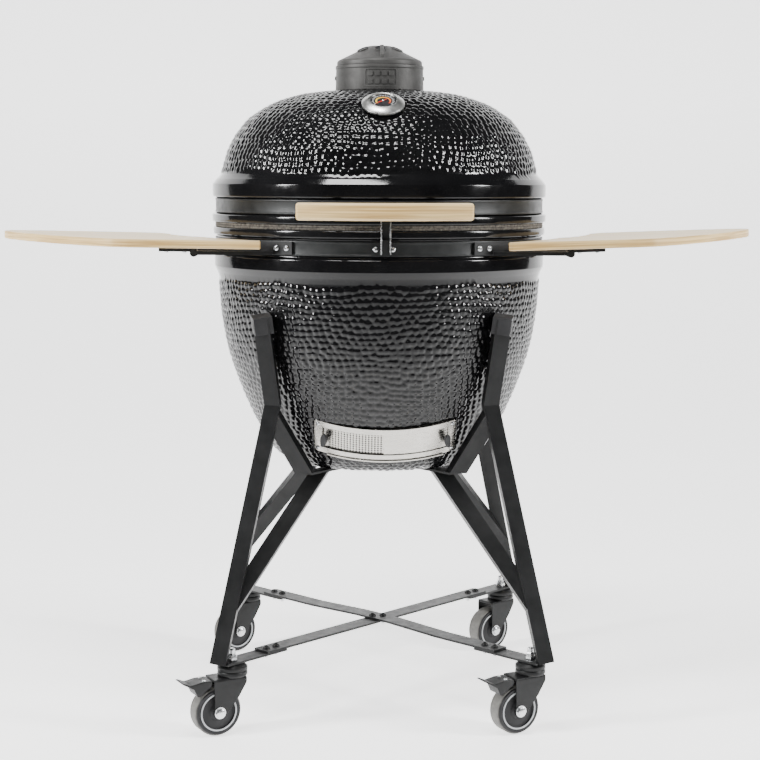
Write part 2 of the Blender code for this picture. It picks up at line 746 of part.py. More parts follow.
def build_straps():
    """Two long flat straps bolted on the end straps. The upper one rises a little to cross the lower."""
    low = STRAP_Z + STRAP_T + GAP
    half = 0.2760
    lower = box("strap_lower", (-half, -STRAP_W / 2, low), (half, STRAP_W / 2, low + STRAP_T), "stand_steel")
    moved(lower, Matrix.Rotation(math.radians(45), 4, "Z"))
    rise = STRAP_T + GAP
    flat, slope = 0.0400, 0.1500
    top_line = [(-half, 0.0), (-slope, 0.0), (-flat, rise), (flat, rise), (slope, 0.0), (half, 0.0)]
    outline = [(x, z + low) for x, z in top_line] + [(x, z + low + STRAP_T) for x, z in reversed(top_line)]
    upper = flat_plate("strap_upper", [outline], STRAP_W, "stand_steel")
    moved(upper, Matrix.Rotation(math.radians(-45), 4, "Z") @ Matrix.Rotation(math.pi / 2, 4, "X"))


# ---------------------------------------------------------------- casters

def caster_xy(corner):
    sx, sy = CORNERS[corner]
    return (sx * CASTER_AT, sy * CASTER_AT)


def caster_matrix(corner):
    """Local -X is the way the wheel trails, local Y runs along the axle."""
    turn = CASTER_TURN[corner.split("_")[0]]
    return Matrix.Translation((*caster_xy(corner), 0.0)) @ Matrix.Rotation(turn, 4, "Z")


def hexagon(radius):
    return circle(radius, 6)


def build_caster(corner):
    placed = caster_matrix(corner)
    pieces = []

    plate_z = STRAP_Z - GAP
    stem = turned(
        f"caster_stem_{corner}",
        [
            (0.0, 0.1370), (0.0050, 0.1345), (0.0050, plate_z), (0.0150, plate_z),
            (0.0245, 0.1080), (0.0245, 0.1025), (0.0, 0.1025),
        ],
        "zinc",
        steps=16,
        closed=False,
    )
    nut_low = STRAP_Z + STRAP_T + GAP
    nut = lifted(flat_plate(f"stem_nut_{corner}", [hexagon(0.0078)], 0.0070), nut_low, nut_low + 0.0070)
    join(stem, nut)
    pieces += [stem, nut]

    cheek_in, cheek_out = WHEEL_W / 2 + 0.0022, WHEEL_W / 2 + 0.0047
    fork = turned(
        f"caster_fork_{corner}",
        [(0.0, 0.1022), (0.0230, 0.1022), (0.0245, 0.0985), (0.0245, 0.0925), (0.0, 0.0925)],
        "stand_steel",
        steps=16,
        closed=False,
    )
    half_saddle = cheek_out - 0.0005
    saddle = box(f"fork_saddle_{corner}", (-0.0385, -half_saddle, 0.0890), (0.0165, half_saddle, 0.0935))
    join(fork, saddle)
    cheek_line = [
        (0.0175, 0.0930), (-0.0395, 0.0930), (-0.0395, 0.0840), (-0.0375, 0.0740), (-0.0375, 0.0380),
        (-TRAIL, 0.0310), (-0.0220, 0.0350), (0.0045, 0.0635), (0.0175, 0.0850),
    ]
    for side in (-1, 1):
        cheek = flat_plate(f"fork_cheek_{corner}_{side}", [cheek_line], cheek_out - cheek_in)
        aside = Matrix.Translation((0, side * (cheek_in + cheek_out) / 2, 0))
        moved(cheek, aside @ Matrix.Rotation(math.pi / 2, 4, "X"))
        join(fork, cheek)
        pieces.append(cheek)
    axle_at = Vector((-TRAIL, 0.0, WHEEL_R))
    reach = Vector((0, 0.0260, 0))
    bolt_room = rod(f"axle_room_{corner}", axle_at - reach, axle_at + reach, 0.0043)
    cut(fork, bolt_room)
    pieces += [fork, saddle, bolt_room]

    axle = rod(f"caster_axle_{corner}", axle_at - reach, axle_at + reach, 0.0040, "zinc")
    for side in (-1, 1):
        head = flat_plate(f"axle_head_{corner}_{side}", [hexagon(0.0070)], 0.0050)
        moved(
            head,
            Matrix.Translation(axle_at + Vector((0, side * (cheek_out + GAP + 0.0025), 0)))
            @ Matrix.Rotation(math.pi / 2, 4, "X"),
        )
        join(axle, head)
        pieces.append(head)
    pieces.append(axle)

    half = WHEEL_W / 2
    wheel = turned(
        f"caster_wheel_{corner}",
        [
            (WHEEL_R - 0.003, half), (WHEEL_R, half - 0.004), (WHEEL_R, -half + 0.004),
            (WHEEL_R - 0.003, -half),
            (0.0044, -half), (0.0044, half),
        ],
        "rubber",
        steps=24,
    )
    wheel.matrix_world = placed @ Matrix.Translation(axle_at) @ Matrix.Rotation(math.pi / 2, 4, "X")
    for piece in pieces:
        piece.matrix_world = placed


def build_pedal(corner):
    """The foot lever of a braked caster. It tips about its end next to the fork."""
    side = corner.split("_")[1]
    line = [
        (0.0035, 0.0045), (-0.0150, 0.0045), (-0.0320, 0.0015), (-0.0440, 0.0065), (-0.0470, 0.0055),
        (-0.0340, -0.0020), (-0.0270, -0.0060), (-0.0210, -0.0190), (-0.0150, -0.0165), (-0.0050, -0.0095),
        (0.0035, -0.0040),
    ]
    pedal = flat_plate(f"brake_pedal_{side}", [line], 0.0330, "plastic")
    moved(pedal, Matrix.Rotation(math.pi / 2, 4, "X"))
    pedal.matrix_world = caster_matrix(corner) @ Matrix.Translation(PEDAL_PIVOT)


def hang_lid():
    """Everything on the lid turns about an empty on the hinge's pin."""
    pivot = bpy.data.objects.new("lid_pivot", None)
    pivot.location = (0.0, HINGE_Y, HINGE_Z)
    GRILL.objects.link(pivot)
    bpy.context.view_layer.update()
    for name in LID_PIECES:
        piece = bpy.data.objects[name]
        piece.parent = pivot
        piece.matrix_parent_inverse = pivot.matrix_world.inverted()


def build_all():
    build_bowl()
    build_lid_dome()
    build_bands()
    build_felt()
    build_firebox()
    grate("charcoal_grate", 0.1200, 0.008, 0.006, 9, (0.4705, 0.4785), "cast_iron")
    grate("cooking_grate", 0.2330, 0.007, 0.006, 13, (0.7685, 0.7755), "stainless")
    build_hinge()
    build_handle()
    build_gauge()
    build_vent()
    build_guide_post()
    build_draft_door()
    for side, sign in (("left", -1), ("right", 1)):
        build_shelf(side, sign)
    build_stand()
    for corner in CORNERS:
        build_caster(corner)
    for corner in ("front_left", "front_right"):
        build_pedal(corner)
    hang_lid()


build_all()
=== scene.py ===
import json
import math

import bmesh
import bpy
import numpy as np
from mathutils import Matrix, Vector


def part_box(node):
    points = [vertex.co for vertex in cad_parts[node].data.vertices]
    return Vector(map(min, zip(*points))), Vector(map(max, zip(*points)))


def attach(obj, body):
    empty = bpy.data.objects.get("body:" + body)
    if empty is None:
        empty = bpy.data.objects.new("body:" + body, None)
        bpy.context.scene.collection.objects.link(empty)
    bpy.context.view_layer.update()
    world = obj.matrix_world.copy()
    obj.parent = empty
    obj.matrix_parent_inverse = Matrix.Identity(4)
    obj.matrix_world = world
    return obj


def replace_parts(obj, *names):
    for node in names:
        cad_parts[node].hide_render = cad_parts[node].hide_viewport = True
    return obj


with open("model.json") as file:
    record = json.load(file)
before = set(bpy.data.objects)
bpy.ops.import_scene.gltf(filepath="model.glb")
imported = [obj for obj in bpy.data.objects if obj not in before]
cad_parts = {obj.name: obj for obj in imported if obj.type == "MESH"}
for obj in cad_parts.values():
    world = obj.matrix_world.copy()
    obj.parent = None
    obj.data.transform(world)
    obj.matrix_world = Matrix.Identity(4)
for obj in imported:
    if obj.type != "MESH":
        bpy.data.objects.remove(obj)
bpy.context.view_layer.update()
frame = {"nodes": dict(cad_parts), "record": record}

# Looks for a kamado grill: glazed pebbled ceramic, steel bands, bamboo and a tube stand on casters.
RECORD = frame["record"]
JOINTS = {joint["name"]: joint for joint in RECORD["behaviour"]["joints"]}
CORNERS = {"front_left": (-1, -1), "front_right": (1, -1), "rear_left": (-1, 1), "rear_right": (1, 1)}

PEBBLE_PITCH = 0.0115       # spacing of the bumps in the glaze
PEBBLE_HEIGHT = 0.00185
PEBBLE_RADIUS = 0.0060
RING_CELLS = 1000           # columns round a pebbled surface
ROW_STEP = 0.0016           # spacing of its rows
FACETS = 128                # columns round a plain turned piece
BAND_FACE_R = 0.2806        # where bolt heads sit on plates clamped to the bands
HANDLE_BEND_R = 0.333       # bend of the bamboo handle about the body's axis
BASE_BAND_Z = 0.7750        # middle height of the base band
LID_BAND_Z = 0.8386         # middle height of the lid band's bolts
SHELF_REACH = {"left": (0.1900, 0.0010), "right": (0.1970, 0.0050)}    # inner corner, shift outwards


# ---------------------------------------------------------------- materials

class Look:
    """A Principled material, with short ways to add procedural detail to it."""

    def __init__(self, name, color, roughness, metallic=0.0, slot=None, **sockets):
        self.slot = slot or name
        self.material = bpy.data.materials.new(name)
        self.material.use_nodes = True
        self.tree = self.material.node_tree
        self.shader = self.tree.nodes["Principled BSDF"]
        self.set("Base Color", (*color, 1.0))
        self.set("Roughness", roughness)
        self.set("Metallic", metallic)
        for socket, value in sockets.items():
            self.set(socket.replace("_", " "), value)
        self.coords = self.tree.nodes.new("ShaderNodeTexCoord")

    def set(self, socket, value):
        self.shader.inputs[socket].default_value = value

    def wire(self, output, node_input):
        self.tree.links.new(output, node_input)

    def stretched(self, scale):
        mapping = self.tree.nodes.new("ShaderNodeMapping")
        mapping.inputs["Scale"].default_value = scale
        self.wire(self.coords.outputs["Object"], mapping.inputs["Vector"])
        return mapping.outputs["Vector"]

    def noise(self, scale, stretch=(1, 1, 1), detail=4.0, rough=0.55):
        node = self.tree.nodes.new("ShaderNodeTexNoise")
        node.inputs["Scale"].default_value = scale
        node.inputs["Detail"].default_value = detail
        node.inputs["Roughness"].default_value = rough
        self.wire(self.stretched(stretch), node.inputs["Vector"])
        return node.outputs["Fac"]

    def spread(self, factor, low, high, start=0.3, end=0.7):
        node = self.tree.nodes.new("ShaderNodeMapRange")
        node.inputs["From Min"].default_value = start
        node.inputs["From Max"].default_value = end
        node.inputs["To Min"].default_value = low
        node.inputs["To Max"].default_value = high
        self.wire(factor, node.inputs["Value"])
        return node.outputs["Result"]

    def tint(self, factor, dark, light, start=0.3, end=0.7):
        ramp = self.tree.nodes.new("ShaderNodeValToRGB")
        ramp.color_ramp.elements[0].position = start
        ramp.color_ramp.elements[0].color = (*dark, 1.0)
        ramp.color_ramp.elements[1].position = end
        ramp.color_ramp.elements[1].color = (*light, 1.0)
        self.wire(factor, ramp.inputs["Fac"])
        return ramp.outputs["Color"]

    def mix(self, factor, first, second, kind="MIX"):
        node = self.tree.nodes.new("ShaderNodeMix")
        node.data_type = "RGBA"
        node.blend_type = kind
        if isinstance(factor, float):
            node.inputs["Factor"].default_value = factor
        else:
            self.wire(factor, node.inputs["Factor"])
        self.wire(first, node.inputs["A"])
        self.wire(second, node.inputs["B"])
        return node.outputs["Result"]

    def math(self, operation, first, second=0.0):
        node = self.tree.nodes.new("ShaderNodeMath")
        node.operation = operation
        for socket, value in zip(node.inputs, (first, second)):
            if isinstance(value, (int, float)):
                socket.default_value = value
            else:
                self.wire(value, socket)
        return node.outputs["Value"]

    def axis(self, name, source="Object"):
        split = self.tree.nodes.new("ShaderNodeSeparateXYZ")
        self.wire(self.coords.outputs[source], split.inputs["Vector"])
        return split.outputs[name]

    def color(self, output):
        self.wire(output, self.shader.inputs["Base Color"])

    def roughness(self, output):
        self.wire(output, self.shader.inputs["Roughness"])

    def bump(self, height, strength, distance=0.001):
        node = self.tree.nodes.new("ShaderNodeBump")
        node.inputs["Strength"].default_value = strength
        node.inputs["Distance"].default_value = distance
        self.wire(height, node.inputs["Height"])
        self.wire(node.outputs["Normal"], self.shader.inputs["Normal"])


def glaze_look():
    look = Look("glaze", (0.005, 0.005, 0.0055), 0.1, IOR=1.46)
    look.color(look.tint(look.noise(9.0), (0.003, 0.003, 0.0034), (0.008, 0.008, 0.0085)))
    look.roughness(look.spread(look.noise(60.0), 0.07, 0.16))
    look.bump(look.noise(420.0, detail=2.0), 0.12, 0.0004)
    return look


def painted_look(name, color, roughness, metallic=0.0, slot=None, grain=1400.0, strength=0.14, specular=0.25):
    """Powder coat or satin paint with a fine orange peel."""
    look = Look(name, color, roughness, metallic, slot, Specular_IOR_Level=specular)
    lighter = tuple(min(1.0, channel * 1.5 + 0.002) for channel in color)
    darker = tuple(channel * 0.8 for channel in color)
    look.color(look.tint(look.noise(26.0, detail=6.0), darker, lighter))
    look.roughness(look.spread(look.noise(80.0), roughness - 0.06, roughness + 0.08))
    look.bump(look.noise(grain, detail=2.0), strength, 0.0005)
    return look


def brushed_look(name, color, roughness, stretch, slot):
    """Bare metal with fine lines along the axis whose stretch is smallest."""
    look = Look(name, color, roughness, 1.0, slot)
    lines = look.noise(420.0, stretch, detail=3.0)
    look.color(look.tint(look.noise(12.0), tuple(c * 0.86 for c in color), color))
    look.roughness(look.spread(lines, roughness - 0.06, roughness + 0.12))
    look.bump(lines, 0.10, 0.0002)
    return look


def bamboo_look(name, along, across):
    """Laminated bamboo: strips along one axis on the broad faces, thin plies on the edges."""
    look = Look(name, (0.70, 0.50, 0.27), 0.42, slot="bamboo")
    brick = look.tree.nodes.new("ShaderNodeTexBrick")
    brick.inputs["Color1"].default_value = (0.87, 0.70, 0.44, 1.0)
    brick.inputs["Color2"].default_value = (0.79, 0.59, 0.32, 1.0)
    brick.inputs["Mortar"].default_value = (0.56, 0.40, 0.20, 1.0)
    brick.inputs["Scale"].default_value = 1.0
    brick.inputs["Brick Width"].default_value = 0.9
    brick.inputs["Row Height"].default_value = 0.019
    brick.inputs["Mortar Size"].default_value = 0.0004
    brick.inputs["Mortar Smooth"].default_value = 0.6
    look.wire(look.coords.outputs["Object"], brick.inputs["Vector"])
    fibre = look.noise(60.0, across, detail=6.0)
    fibres = look.tint(fibre, (0.80, 0.78, 0.74), (1.0, 1.0, 1.0), 0.25, 0.75)
    top = look.mix(1.0, brick.outputs["Color"], fibres, "MULTIPLY")
    plies = look.noise(330.0, along, detail=2.0)
    edge = look.tint(plies, (0.50, 0.31, 0.11), (0.80, 0.58, 0.27), 0.35, 0.65)
    facing = look.math("ABSOLUTE", look.axis("Z", "Normal"))
    look.color(look.mix(look.spread(facing, 0.0, 1.0, 0.55, 0.85), edge, top))
    look.roughness(look.spread(fibre, 0.34, 0.52))
    look.bump(fibre, 0.12, 0.0004)
    return look


def felt_look():
    look = Look("felt", (0.20, 0.18, 0.15), 0.95)
    look.color(look.tint(look.noise(240.0, detail=8.0), (0.035, 0.032, 0.028), (0.20, 0.18, 0.15)))
    look.bump(look.noise(900.0, detail=8.0), 0.9, 0.0012)
    return look


def clay_look():
    look = Look("firebrick", (0.55, 0.42, 0.30), 0.88)
    look.color(look.tint(look.noise(32.0, detail=9.0), (0.40, 0.29, 0.20), (0.64, 0.51, 0.38)))
    look.bump(look.noise(300.0, detail=8.0), 0.5, 0.0015)
    return look


def dial_look():
    """Dark dial with an arc that runs from yellow to red, in the dial's own coordinates."""
    look = Look("dial", (0.02, 0.02, 0.022), 0.35, slot="plastic")
    x, y = look.axis("X"), look.axis("Y")
    angle = look.math("ARCTAN2", x, y)
    radius = look.math("SQRT", look.math("ADD", look.math("MULTIPLY", x, x), look.math("MULTIPLY", y, y)))
    turn = look.spread(angle, 0.0, 1.0, -math.radians(135), math.radians(135))
    ramp = look.tree.nodes.new("ShaderNodeValToRGB")
    stops = (
        (0.0, (0.75, 0.62, 0.10)), (0.45, (0.85, 0.45, 0.04)), (0.75, (0.80, 0.18, 0.03)),
        (1.0, (0.50, 0.02, 0.01)),
    )
    while len(ramp.color_ramp.elements) < len(stops):
        ramp.color_ramp.elements.new(0.5)
    for element, (position, color) in zip(ramp.color_ramp.elements, stops):
        element.position = position
        element.color = (*color, 1.0)
    look.wire(turn, ramp.inputs["Fac"])
    outside, inside = look.math("GREATER_THAN", radius, 0.0098), look.math("LESS_THAN", radius, 0.0124)
    in_ring = look.math("MULTIPLY", outside, inside)
    in_arc = look.math("LESS_THAN", look.math("ABSOLUTE", angle), math.radians(128))
    face = look.tint(look.noise(90.0), (0.012, 0.012, 0.014), (0.026, 0.026, 0.028))
    look.color(look.mix(look.math("MULTIPLY", in_ring, in_arc), face, ramp.outputs["Color"]))
    return look


def tread_look():
    look = Look("tread", (0.16, 0.16, 0.165), 0.6, slot="rubber")
    look.color(look.tint(look.noise(90.0, detail=8.0), (0.075, 0.073, 0.069), (0.15, 0.146, 0.135)))
    look.bump(look.noise(500.0), 0.25, 0.0006)
    return look


GLAZE = glaze_look()
BAND = painted_look("band_steel", (0.016, 0.017, 0.017), 0.38, 0.3, grain=900.0, strength=0.05, specular=0.4)
STAND = painted_look("stand_steel", (0.009, 0.0092, 0.0095), 0.42, 0.0)
CAST = painted_look("cast_iron", (0.060, 0.059, 0.057), 0.50, 0.25, grain=420.0, strength=0.35)
PLASTIC = painted_look("plastic", (0.020, 0.020, 0.021), 0.46, 0.0, grain=700.0, strength=0.2)
HUB = painted_look("hub_plastic", (0.014, 0.014, 0.015), 0.5, 0.0, slot="rubber", grain=600.0, strength=0.15)
RING = painted_look("wheel_ring", (0.36, 0.37, 0.38), 0.5, 0.0, slot="rubber", grain=600.0, strength=0.15)
NEEDLE = painted_look("needle_red", (0.62, 0.03, 0.02), 0.4, 0.0, grain=600.0, strength=0.05)
MARKS = painted_look("dial_marks", (0.75, 0.75, 0.72), 0.5, 0.0, slot="plastic", grain=600.0, strength=0.05)
STEEL = brushed_look("stainless", (0.56, 0.54, 0.50), 0.24, (0.05, 1.0, 1.0), "stainless")
BEZEL = brushed_look("bezel_steel", (0.66, 0.66, 0.64), 0.30, (0.15, 0.15, 0.15), "stainless")
ZINC = brushed_look("zinc", (0.70, 0.71, 0.72), 0.24, (1.0, 1.0, 1.0), "zinc")
BOARD = bamboo_look("bamboo_board", (0.02, 0.02, 1.0), (0.06, 1.0, 1.0))
FELT = felt_look()
CLAY = clay_look()
DIAL = dial_look()
TREAD = tread_look()


# ---------------------------------------------------------------- shapes

UPRIGHT = Matrix.Rotation(math.radians(90), 4, "X")


def shift(at):
    return Matrix.Translation(at)


def rotated(degrees, axis):
    return Matrix.Rotation(math.radians(degrees), 4, axis)


def rect(x0, y0, x1, y1):
    return [(x0, y0), (x1, y0), (x1, y1), (x0, y1)]


def from_front(degrees):
    """The level direction at an angle from the front, counted towards +X."""
    turn = math.radians(degrees)
    return Vector((math.sin(turn), -math.cos(turn), 0))


def finish_piece(name, mesh, look, body, matrix=None, sharp=40.0, weighted=False):
    """Adds a mesh to the model as a named piece that rides on a body."""
    piece = bpy.data.objects.new(name, mesh)
    bpy.context.scene.collection.objects.link(piece)
    mesh.materials.clear()
    mesh.materials.append(look.material)
    mesh.shade_smooth()
    if sharp:
        mesh.set_sharp_from_angle(angle=math.radians(sharp))
    if matrix:
        piece.matrix_world = matrix
    if weighted:
        piece.modifiers.new("Weighted", "WEIGHTED_NORMAL").keep_sharp = True
    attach(piece, body)
    return piece


def rounded(points, radius, closed=True, steps=3):
    """The outline with each corner replaced by an arc; a radius can also be given corner by corner."""
    radii = radius if isinstance(radius, (list, tuple)) else [radius] * len(points)
    found = []
    count = len(points)
    for index, (point, size) in enumerate(zip(points, radii)):
        here = Vector(point)
        if size == 0 or (not closed and index in (0, count - 1)):
            found.append(tuple(point))
            continue
        to_last = Vector(points[index - 1]) - here
        to_next = Vector(points[(index + 1) % count]) - here
        half = to_last.angle(to_next) / 2
        reach = min(size / math.tan(half), to_last.length * 0.49, to_next.length * 0.49)
        start = here + to_last.normalized() * reach
        end = here + to_next.normalized() * reach
        for step in range(steps + 1):
            t = step / steps
            found.append(tuple(start * (1 - t) ** 2 + here * 2 * t * (1 - t) + end * t**2))
    return found


def swept(profile, angles):
    """Rows of vertices for a profile of (radius, height) at each angle from +X."""
    profile = np.array(profile)
    angles = np.array(angles)
    x = profile[:, 0][:, None] * np.cos(angles)[None, :]
    y = profile[:, 0][:, None] * np.sin(angles)[None, :]
    z = np.repeat(profile[:, 1][:, None], len(angles), axis=1)
    return np.stack([x, y, z], axis=-1)


def grid_faces(rows, columns, wrap_rows, wrap_columns):
    row = np.arange(rows if wrap_rows else rows - 1)
    column = np.arange(columns if wrap_columns else columns - 1)
    a = row[:, None] * columns + column[None, :]
    b = ((row + 1) % rows)[:, None] * columns + column[None, :]
    c = ((row + 1) % rows)[:, None] * columns + ((column + 1) % columns)[None, :]
    d = row[:, None] * columns + ((column + 1) % columns)[None, :]
    return np.stack([a, b, c, d], axis=-1).reshape(-1, 4)


def mesh_from(name, vertices, faces):
    mesh = bpy.data.meshes.new(name)
    mesh.from_pydata(np.asarray(vertices).reshape(-1, 3).tolist(), [], faces)
    return mesh


def tidy(mesh, merge=0.000001):
    work = bmesh.new()
    work.from_mesh(mesh)
    bmesh.ops.remove_doubles(work, verts=work.verts, dist=merge)
    bmesh.ops.recalc_face_normals(work, faces=work.faces)
    work.to_mesh(mesh)
    work.free()
    return mesh


def turned(name, profile, look, body, matrix=None, closed=True, steps=FACETS, span=None):
    """A turned piece, or a curved bar when a span of angles from +X is given."""
    if span:
        angles = np.linspace(span[0], span[1], steps + 1)
    else:
        angles = np.arange(steps) * 2 * math.pi / steps
    rows = swept(profile, angles)
    faces = grid_faces(len(profile), len(angles), closed, not span).tolist()
    if span:
        width = len(angles)
        faces.append([row * width for row in range(len(profile))])
        faces.append([row * width + width - 1 for row in reversed(range(len(profile)))])
    mesh = tidy(mesh_from(name, rows, faces))
    return finish_piece(name, mesh, look, body, matrix, weighted=bool(span))


def curve_mesh(name, outlines, depth=0.0, bevel=0.0, three_d=False, resolution=2, closed=True):
    data = bpy.data.curves.new(name, "CURVE")
    data.dimensions = "3D" if three_d else "2D"
    data.fill_mode = "FULL" if three_d else "BOTH"
    data.use_fill_caps = three_d
    data.bevel_depth = bevel
    data.bevel_resolution = resolution
    if not three_d:
        data.extrude = depth / 2 - bevel
        data.offset = -bevel
    for outline in outlines:
        spline = data.splines.new("POLY")
        spline.points.add(len(outline) - 1)
        spline.use_cyclic_u = closed
        for point, at in zip(spline.points, outline):
            point.co = (*at, 1.0) if three_d else (*at, 0.0, 1.0)
    curve = bpy.data.objects.new(name, data)
    bpy.context.scene.collection.objects.link(curve)
    bpy.context.view_layer.update()
    graph = bpy.context.evaluated_depsgraph_get()
    mesh = bpy.data.meshes.new_from_object(curve.evaluated_get(graph))
    bpy.data.objects.remove(curve, do_unlink=True)
    return tidy(mesh, 0.00001)


def plate(name, outlines, depth, look, body, matrix=None, bevel=0.0006, bend=None, slices=12):
    """A plate with rounded edges, drawn flat. With bend it is wrapped round local Z at that radius:
    its X becomes the way round from -Y, its Y becomes the height."""
    mesh = curve_mesh(name, outlines, depth, bevel)
    if bend:
        work = bmesh.new()
        work.from_mesh(mesh)
        xs = [vertex.co.x for vertex in work.verts]
        for cut in np.linspace(min(xs), max(xs), slices + 1)[1:-1]:
            everything = work.verts[:] + work.edges[:] + work.faces[:]
            bmesh.ops.bisect_plane(work, geom=everything, plane_co=(cut, 0, 0), plane_no=(1, 0, 0))
        for vertex in work.verts:
            x, y, z = vertex.co
            vertex.co = ((bend + z) * math.sin(x / bend), -(bend + z) * math.cos(x / bend), y)
        work.to_mesh(mesh)
        work.free()
    return finish_piece(name, mesh, look, body, matrix, weighted=True)


def pipe(name, points, radius, look, body, matrix=None, closed=False, resolution=4):
    mesh = curve_mesh(name, [points], bevel=radius, three_d=True, resolution=resolution, closed=closed)
    return finish_piece(name, mesh, look, body, matrix)


def block(name, low, high, look, body, matrix=None, bevel=0.0012):
    """A rounded block between two corners."""
    (x0, y0, z0), (x1, y1, z1) = low, high
    mesh = curve_mesh(name, [rounded(rect(x0, y0, x1, y1), bevel)], z1 - z0, min(bevel, (z1 - z0) * 0.45))
    mesh.transform(shift((0, 0, (z0 + z1) / 2)))
    return finish_piece(name, mesh, look, body, matrix, weighted=True)


def circle(radius, count=32, centre=(0.0, 0.0)):
    return [
        (
            centre[0] + radius * math.cos(2 * math.pi * k / count),
            centre[1] + radius * math.sin(2 * math.pi * k / count),
        ) for k in range(count)
    ]


def facing(at, normal):
    """A matrix at a point whose local Z looks along a direction."""
    return shift(at) @ Vector(normal).to_track_quat("Z", "Y").to_matrix().to_4x4()


def bolt_head(name, at, normal, radius, look, body, hexagonal=False):
    """A button head with a hexagon socket, or a plain hexagon head with a chamfer."""
    height = radius * 0.62
    if hexagonal:
        profile = [
            (0, height), (radius * 0.72, height), (radius * 0.98, height * 0.82), (radius, 0.0), (0, 0.0),
        ]
        return turned(name, profile, look, body, facing(at, normal), closed=False, steps=6)
    profile = [
        (0, height * 0.35), (radius * 0.42, height * 0.35), (radius * 0.45, height),
        (radius * 0.75, height * 0.86), (radius * 0.94, height * 0.5), (radius, 0.0), (0, 0.0),
    ]
    return turned(name, profile, look, body, facing(at, normal), closed=False, steps=24)


def keep(node, look, bevel=0.0012, segments=3):
    """A CAD node shown as it is, with its edges rounded."""
    shown = frame["nodes"][node]
    shown.data.materials.clear()
    shown.data.materials.append(look.material)
    flat = shown.modifiers.new("Flatten", "DECIMATE")
    flat.decimate_type = "DISSOLVE"
    flat.angle_limit = math.radians(1.0)
    if bevel:
        soft = shown.modifiers.new("Round", "BEVEL")
        soft.width = bevel
        soft.segments = segments
        soft.limit_method = "ANGLE"
        soft.angle_limit = math.radians(35)
        soft.harden_normals = True
    return shown


# ---------------------------------------------------------------- glazed ceramic

def along(profile):
    """Distances along a polyline."""
    profile = np.array(profile)
    return np.concatenate([[0.0], np.cumsum(np.hypot(*np.diff(profile, axis=0).T))])


def smooth_line(points, spacing):
    """The polyline as a Catmull-Rom curve, resampled at even spacing."""
    points = [Vector(point) for point in points]
    padded = [points[0] * 2 - points[1]] + points + [points[-1] * 2 - points[-2]]
    dense = []
    for index in range(1, len(padded) - 2):
        a, b, c, d = padded[index - 1:index + 3]
        for t in np.linspace(0, 1, 40, endpoint=False):
            spot = 0.5 * (
                2 * b + (c - a) * t + (2 * a - 5 * b + 4 * c - d) * t**2 + (3 * b - a - 3 * c + d) * t**3
            )
            dense.append((spot.x, spot.y))
    dense.append(tuple(points[-1]))
    dense = np.array(dense)
    length = along(dense)
    marks = np.linspace(0, length[-1], max(2, int(length[-1] / spacing)))
    return np.stack([np.interp(marks, length, dense[:, 0]), np.interp(marks, length, dense[:, 1])], axis=-1)


def pebbles(line, angles):
    """Heights of the bumps over a turned surface: uneven, wandering rows of low round-topped studs."""
    length = along(line)
    pitch = PEBBLE_PITCH * 0.84
    row_count = int(length[-1] / pitch)
    first = (length[-1] - (row_count - 1) * pitch) / 2
    centres = first + np.arange(row_count) * pitch
    counts = np.maximum(
        8, np.round(2 * math.pi * np.interp(centres, length, line[:, 0]) / PEBBLE_PITCH),
    ).astype(int)
    dice = np.random.default_rng(7)
    slip_round, slip_along, lift = dice.uniform(-1.0, 1.0, (3, row_count, counts.max()))
    wave = 0.0034 * np.sin(5 * angles + 1.3)[None, :] * np.sin(length * 26 + 0.4)[:, None]
    wave = wave + 0.0022 * np.sin(11 * angles + 0.7)[None, :] * np.cos(length * 41)[:, None]
    place_along = length[:, None] + wave
    nearest = np.clip(np.round((place_along - centres[0]) / pitch).astype(int), 0, row_count - 1)
    heights = np.zeros((len(line), len(angles)))
    for row_shift in (-1, 0, 1):
        row = np.clip(nearest + row_shift, 0, row_count - 1)
        step = 2 * math.pi / counts[row]
        place = angles[None, :] / step - (row % 2) * 0.5
        for column_shift in (-1, 0, 1):
            column = np.round(place).astype(int) + column_shift
            stud = (row, column % counts[row])
            off = (place - column) * step * line[:, 0][:, None] - slip_round[stud] * PEBBLE_PITCH * 0.17
            up = place_along - centres[row] - slip_along[stud] * PEBBLE_PITCH * 0.15
            away = np.hypot(off, up) / (PEBBLE_RADIUS * (1.0 + 0.10 * lift[stud]))
            heights = np.maximum(heights, np.clip(1.0 - away**2.0, 0.0, 1.0) * (1.0 + 0.18 * lift[stud]))
    return heights * PEBBLE_HEIGHT


def outward(line):
    step = np.gradient(line, axis=0)
    normal = np.stack([-step[:, 1], step[:, 0]], axis=-1)
    return normal / np.linalg.norm(normal, axis=1)[:, None]


def ceramic_shell(before, textured, after, trim):
    """A turned shell with pebbles on one stretch of its outer side. The trim function edits the vertices
    of that stretch; the shell's whole loop is before + textured + after."""
    angles = np.arange(RING_CELLS) * 2 * math.pi / RING_CELLS
    line = smooth_line(textured, ROW_STEP)
    normal = outward(line)
    heights = pebbles(line, angles)
    side = np.sign(normal[len(line) // 2, 0])
    radial = line[:, 0][:, None] + heights * normal[:, 0][:, None] * side
    z = line[:, 1][:, None] + heights * normal[:, 1][:, None] * side
    middle = np.stack([radial * np.cos(angles), radial * np.sin(angles), z], axis=-1)
    plain = np.stack([line[:, 0][:, None] * np.cos(angles), line[:, 0][:, None] * np.sin(angles),
                      np.repeat(line[:, 1][:, None], RING_CELLS, axis=1)], axis=-1)
    middle = trim(middle, plain)
    rows = [swept(before, angles), middle, swept(after, angles)]
    vertices = np.concatenate(rows).reshape(-1, 3)
    faces = grid_faces(len(vertices) // RING_CELLS, RING_CELLS, True, True)
    return vertices, faces


def as_shell(name, vertices, faces, body, node):
    mesh = tidy(mesh_from(name, vertices, faces.tolist()))
    piece = finish_piece(name, mesh, GLAZE, body, sharp=0)
    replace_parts(piece, node)
    return piece


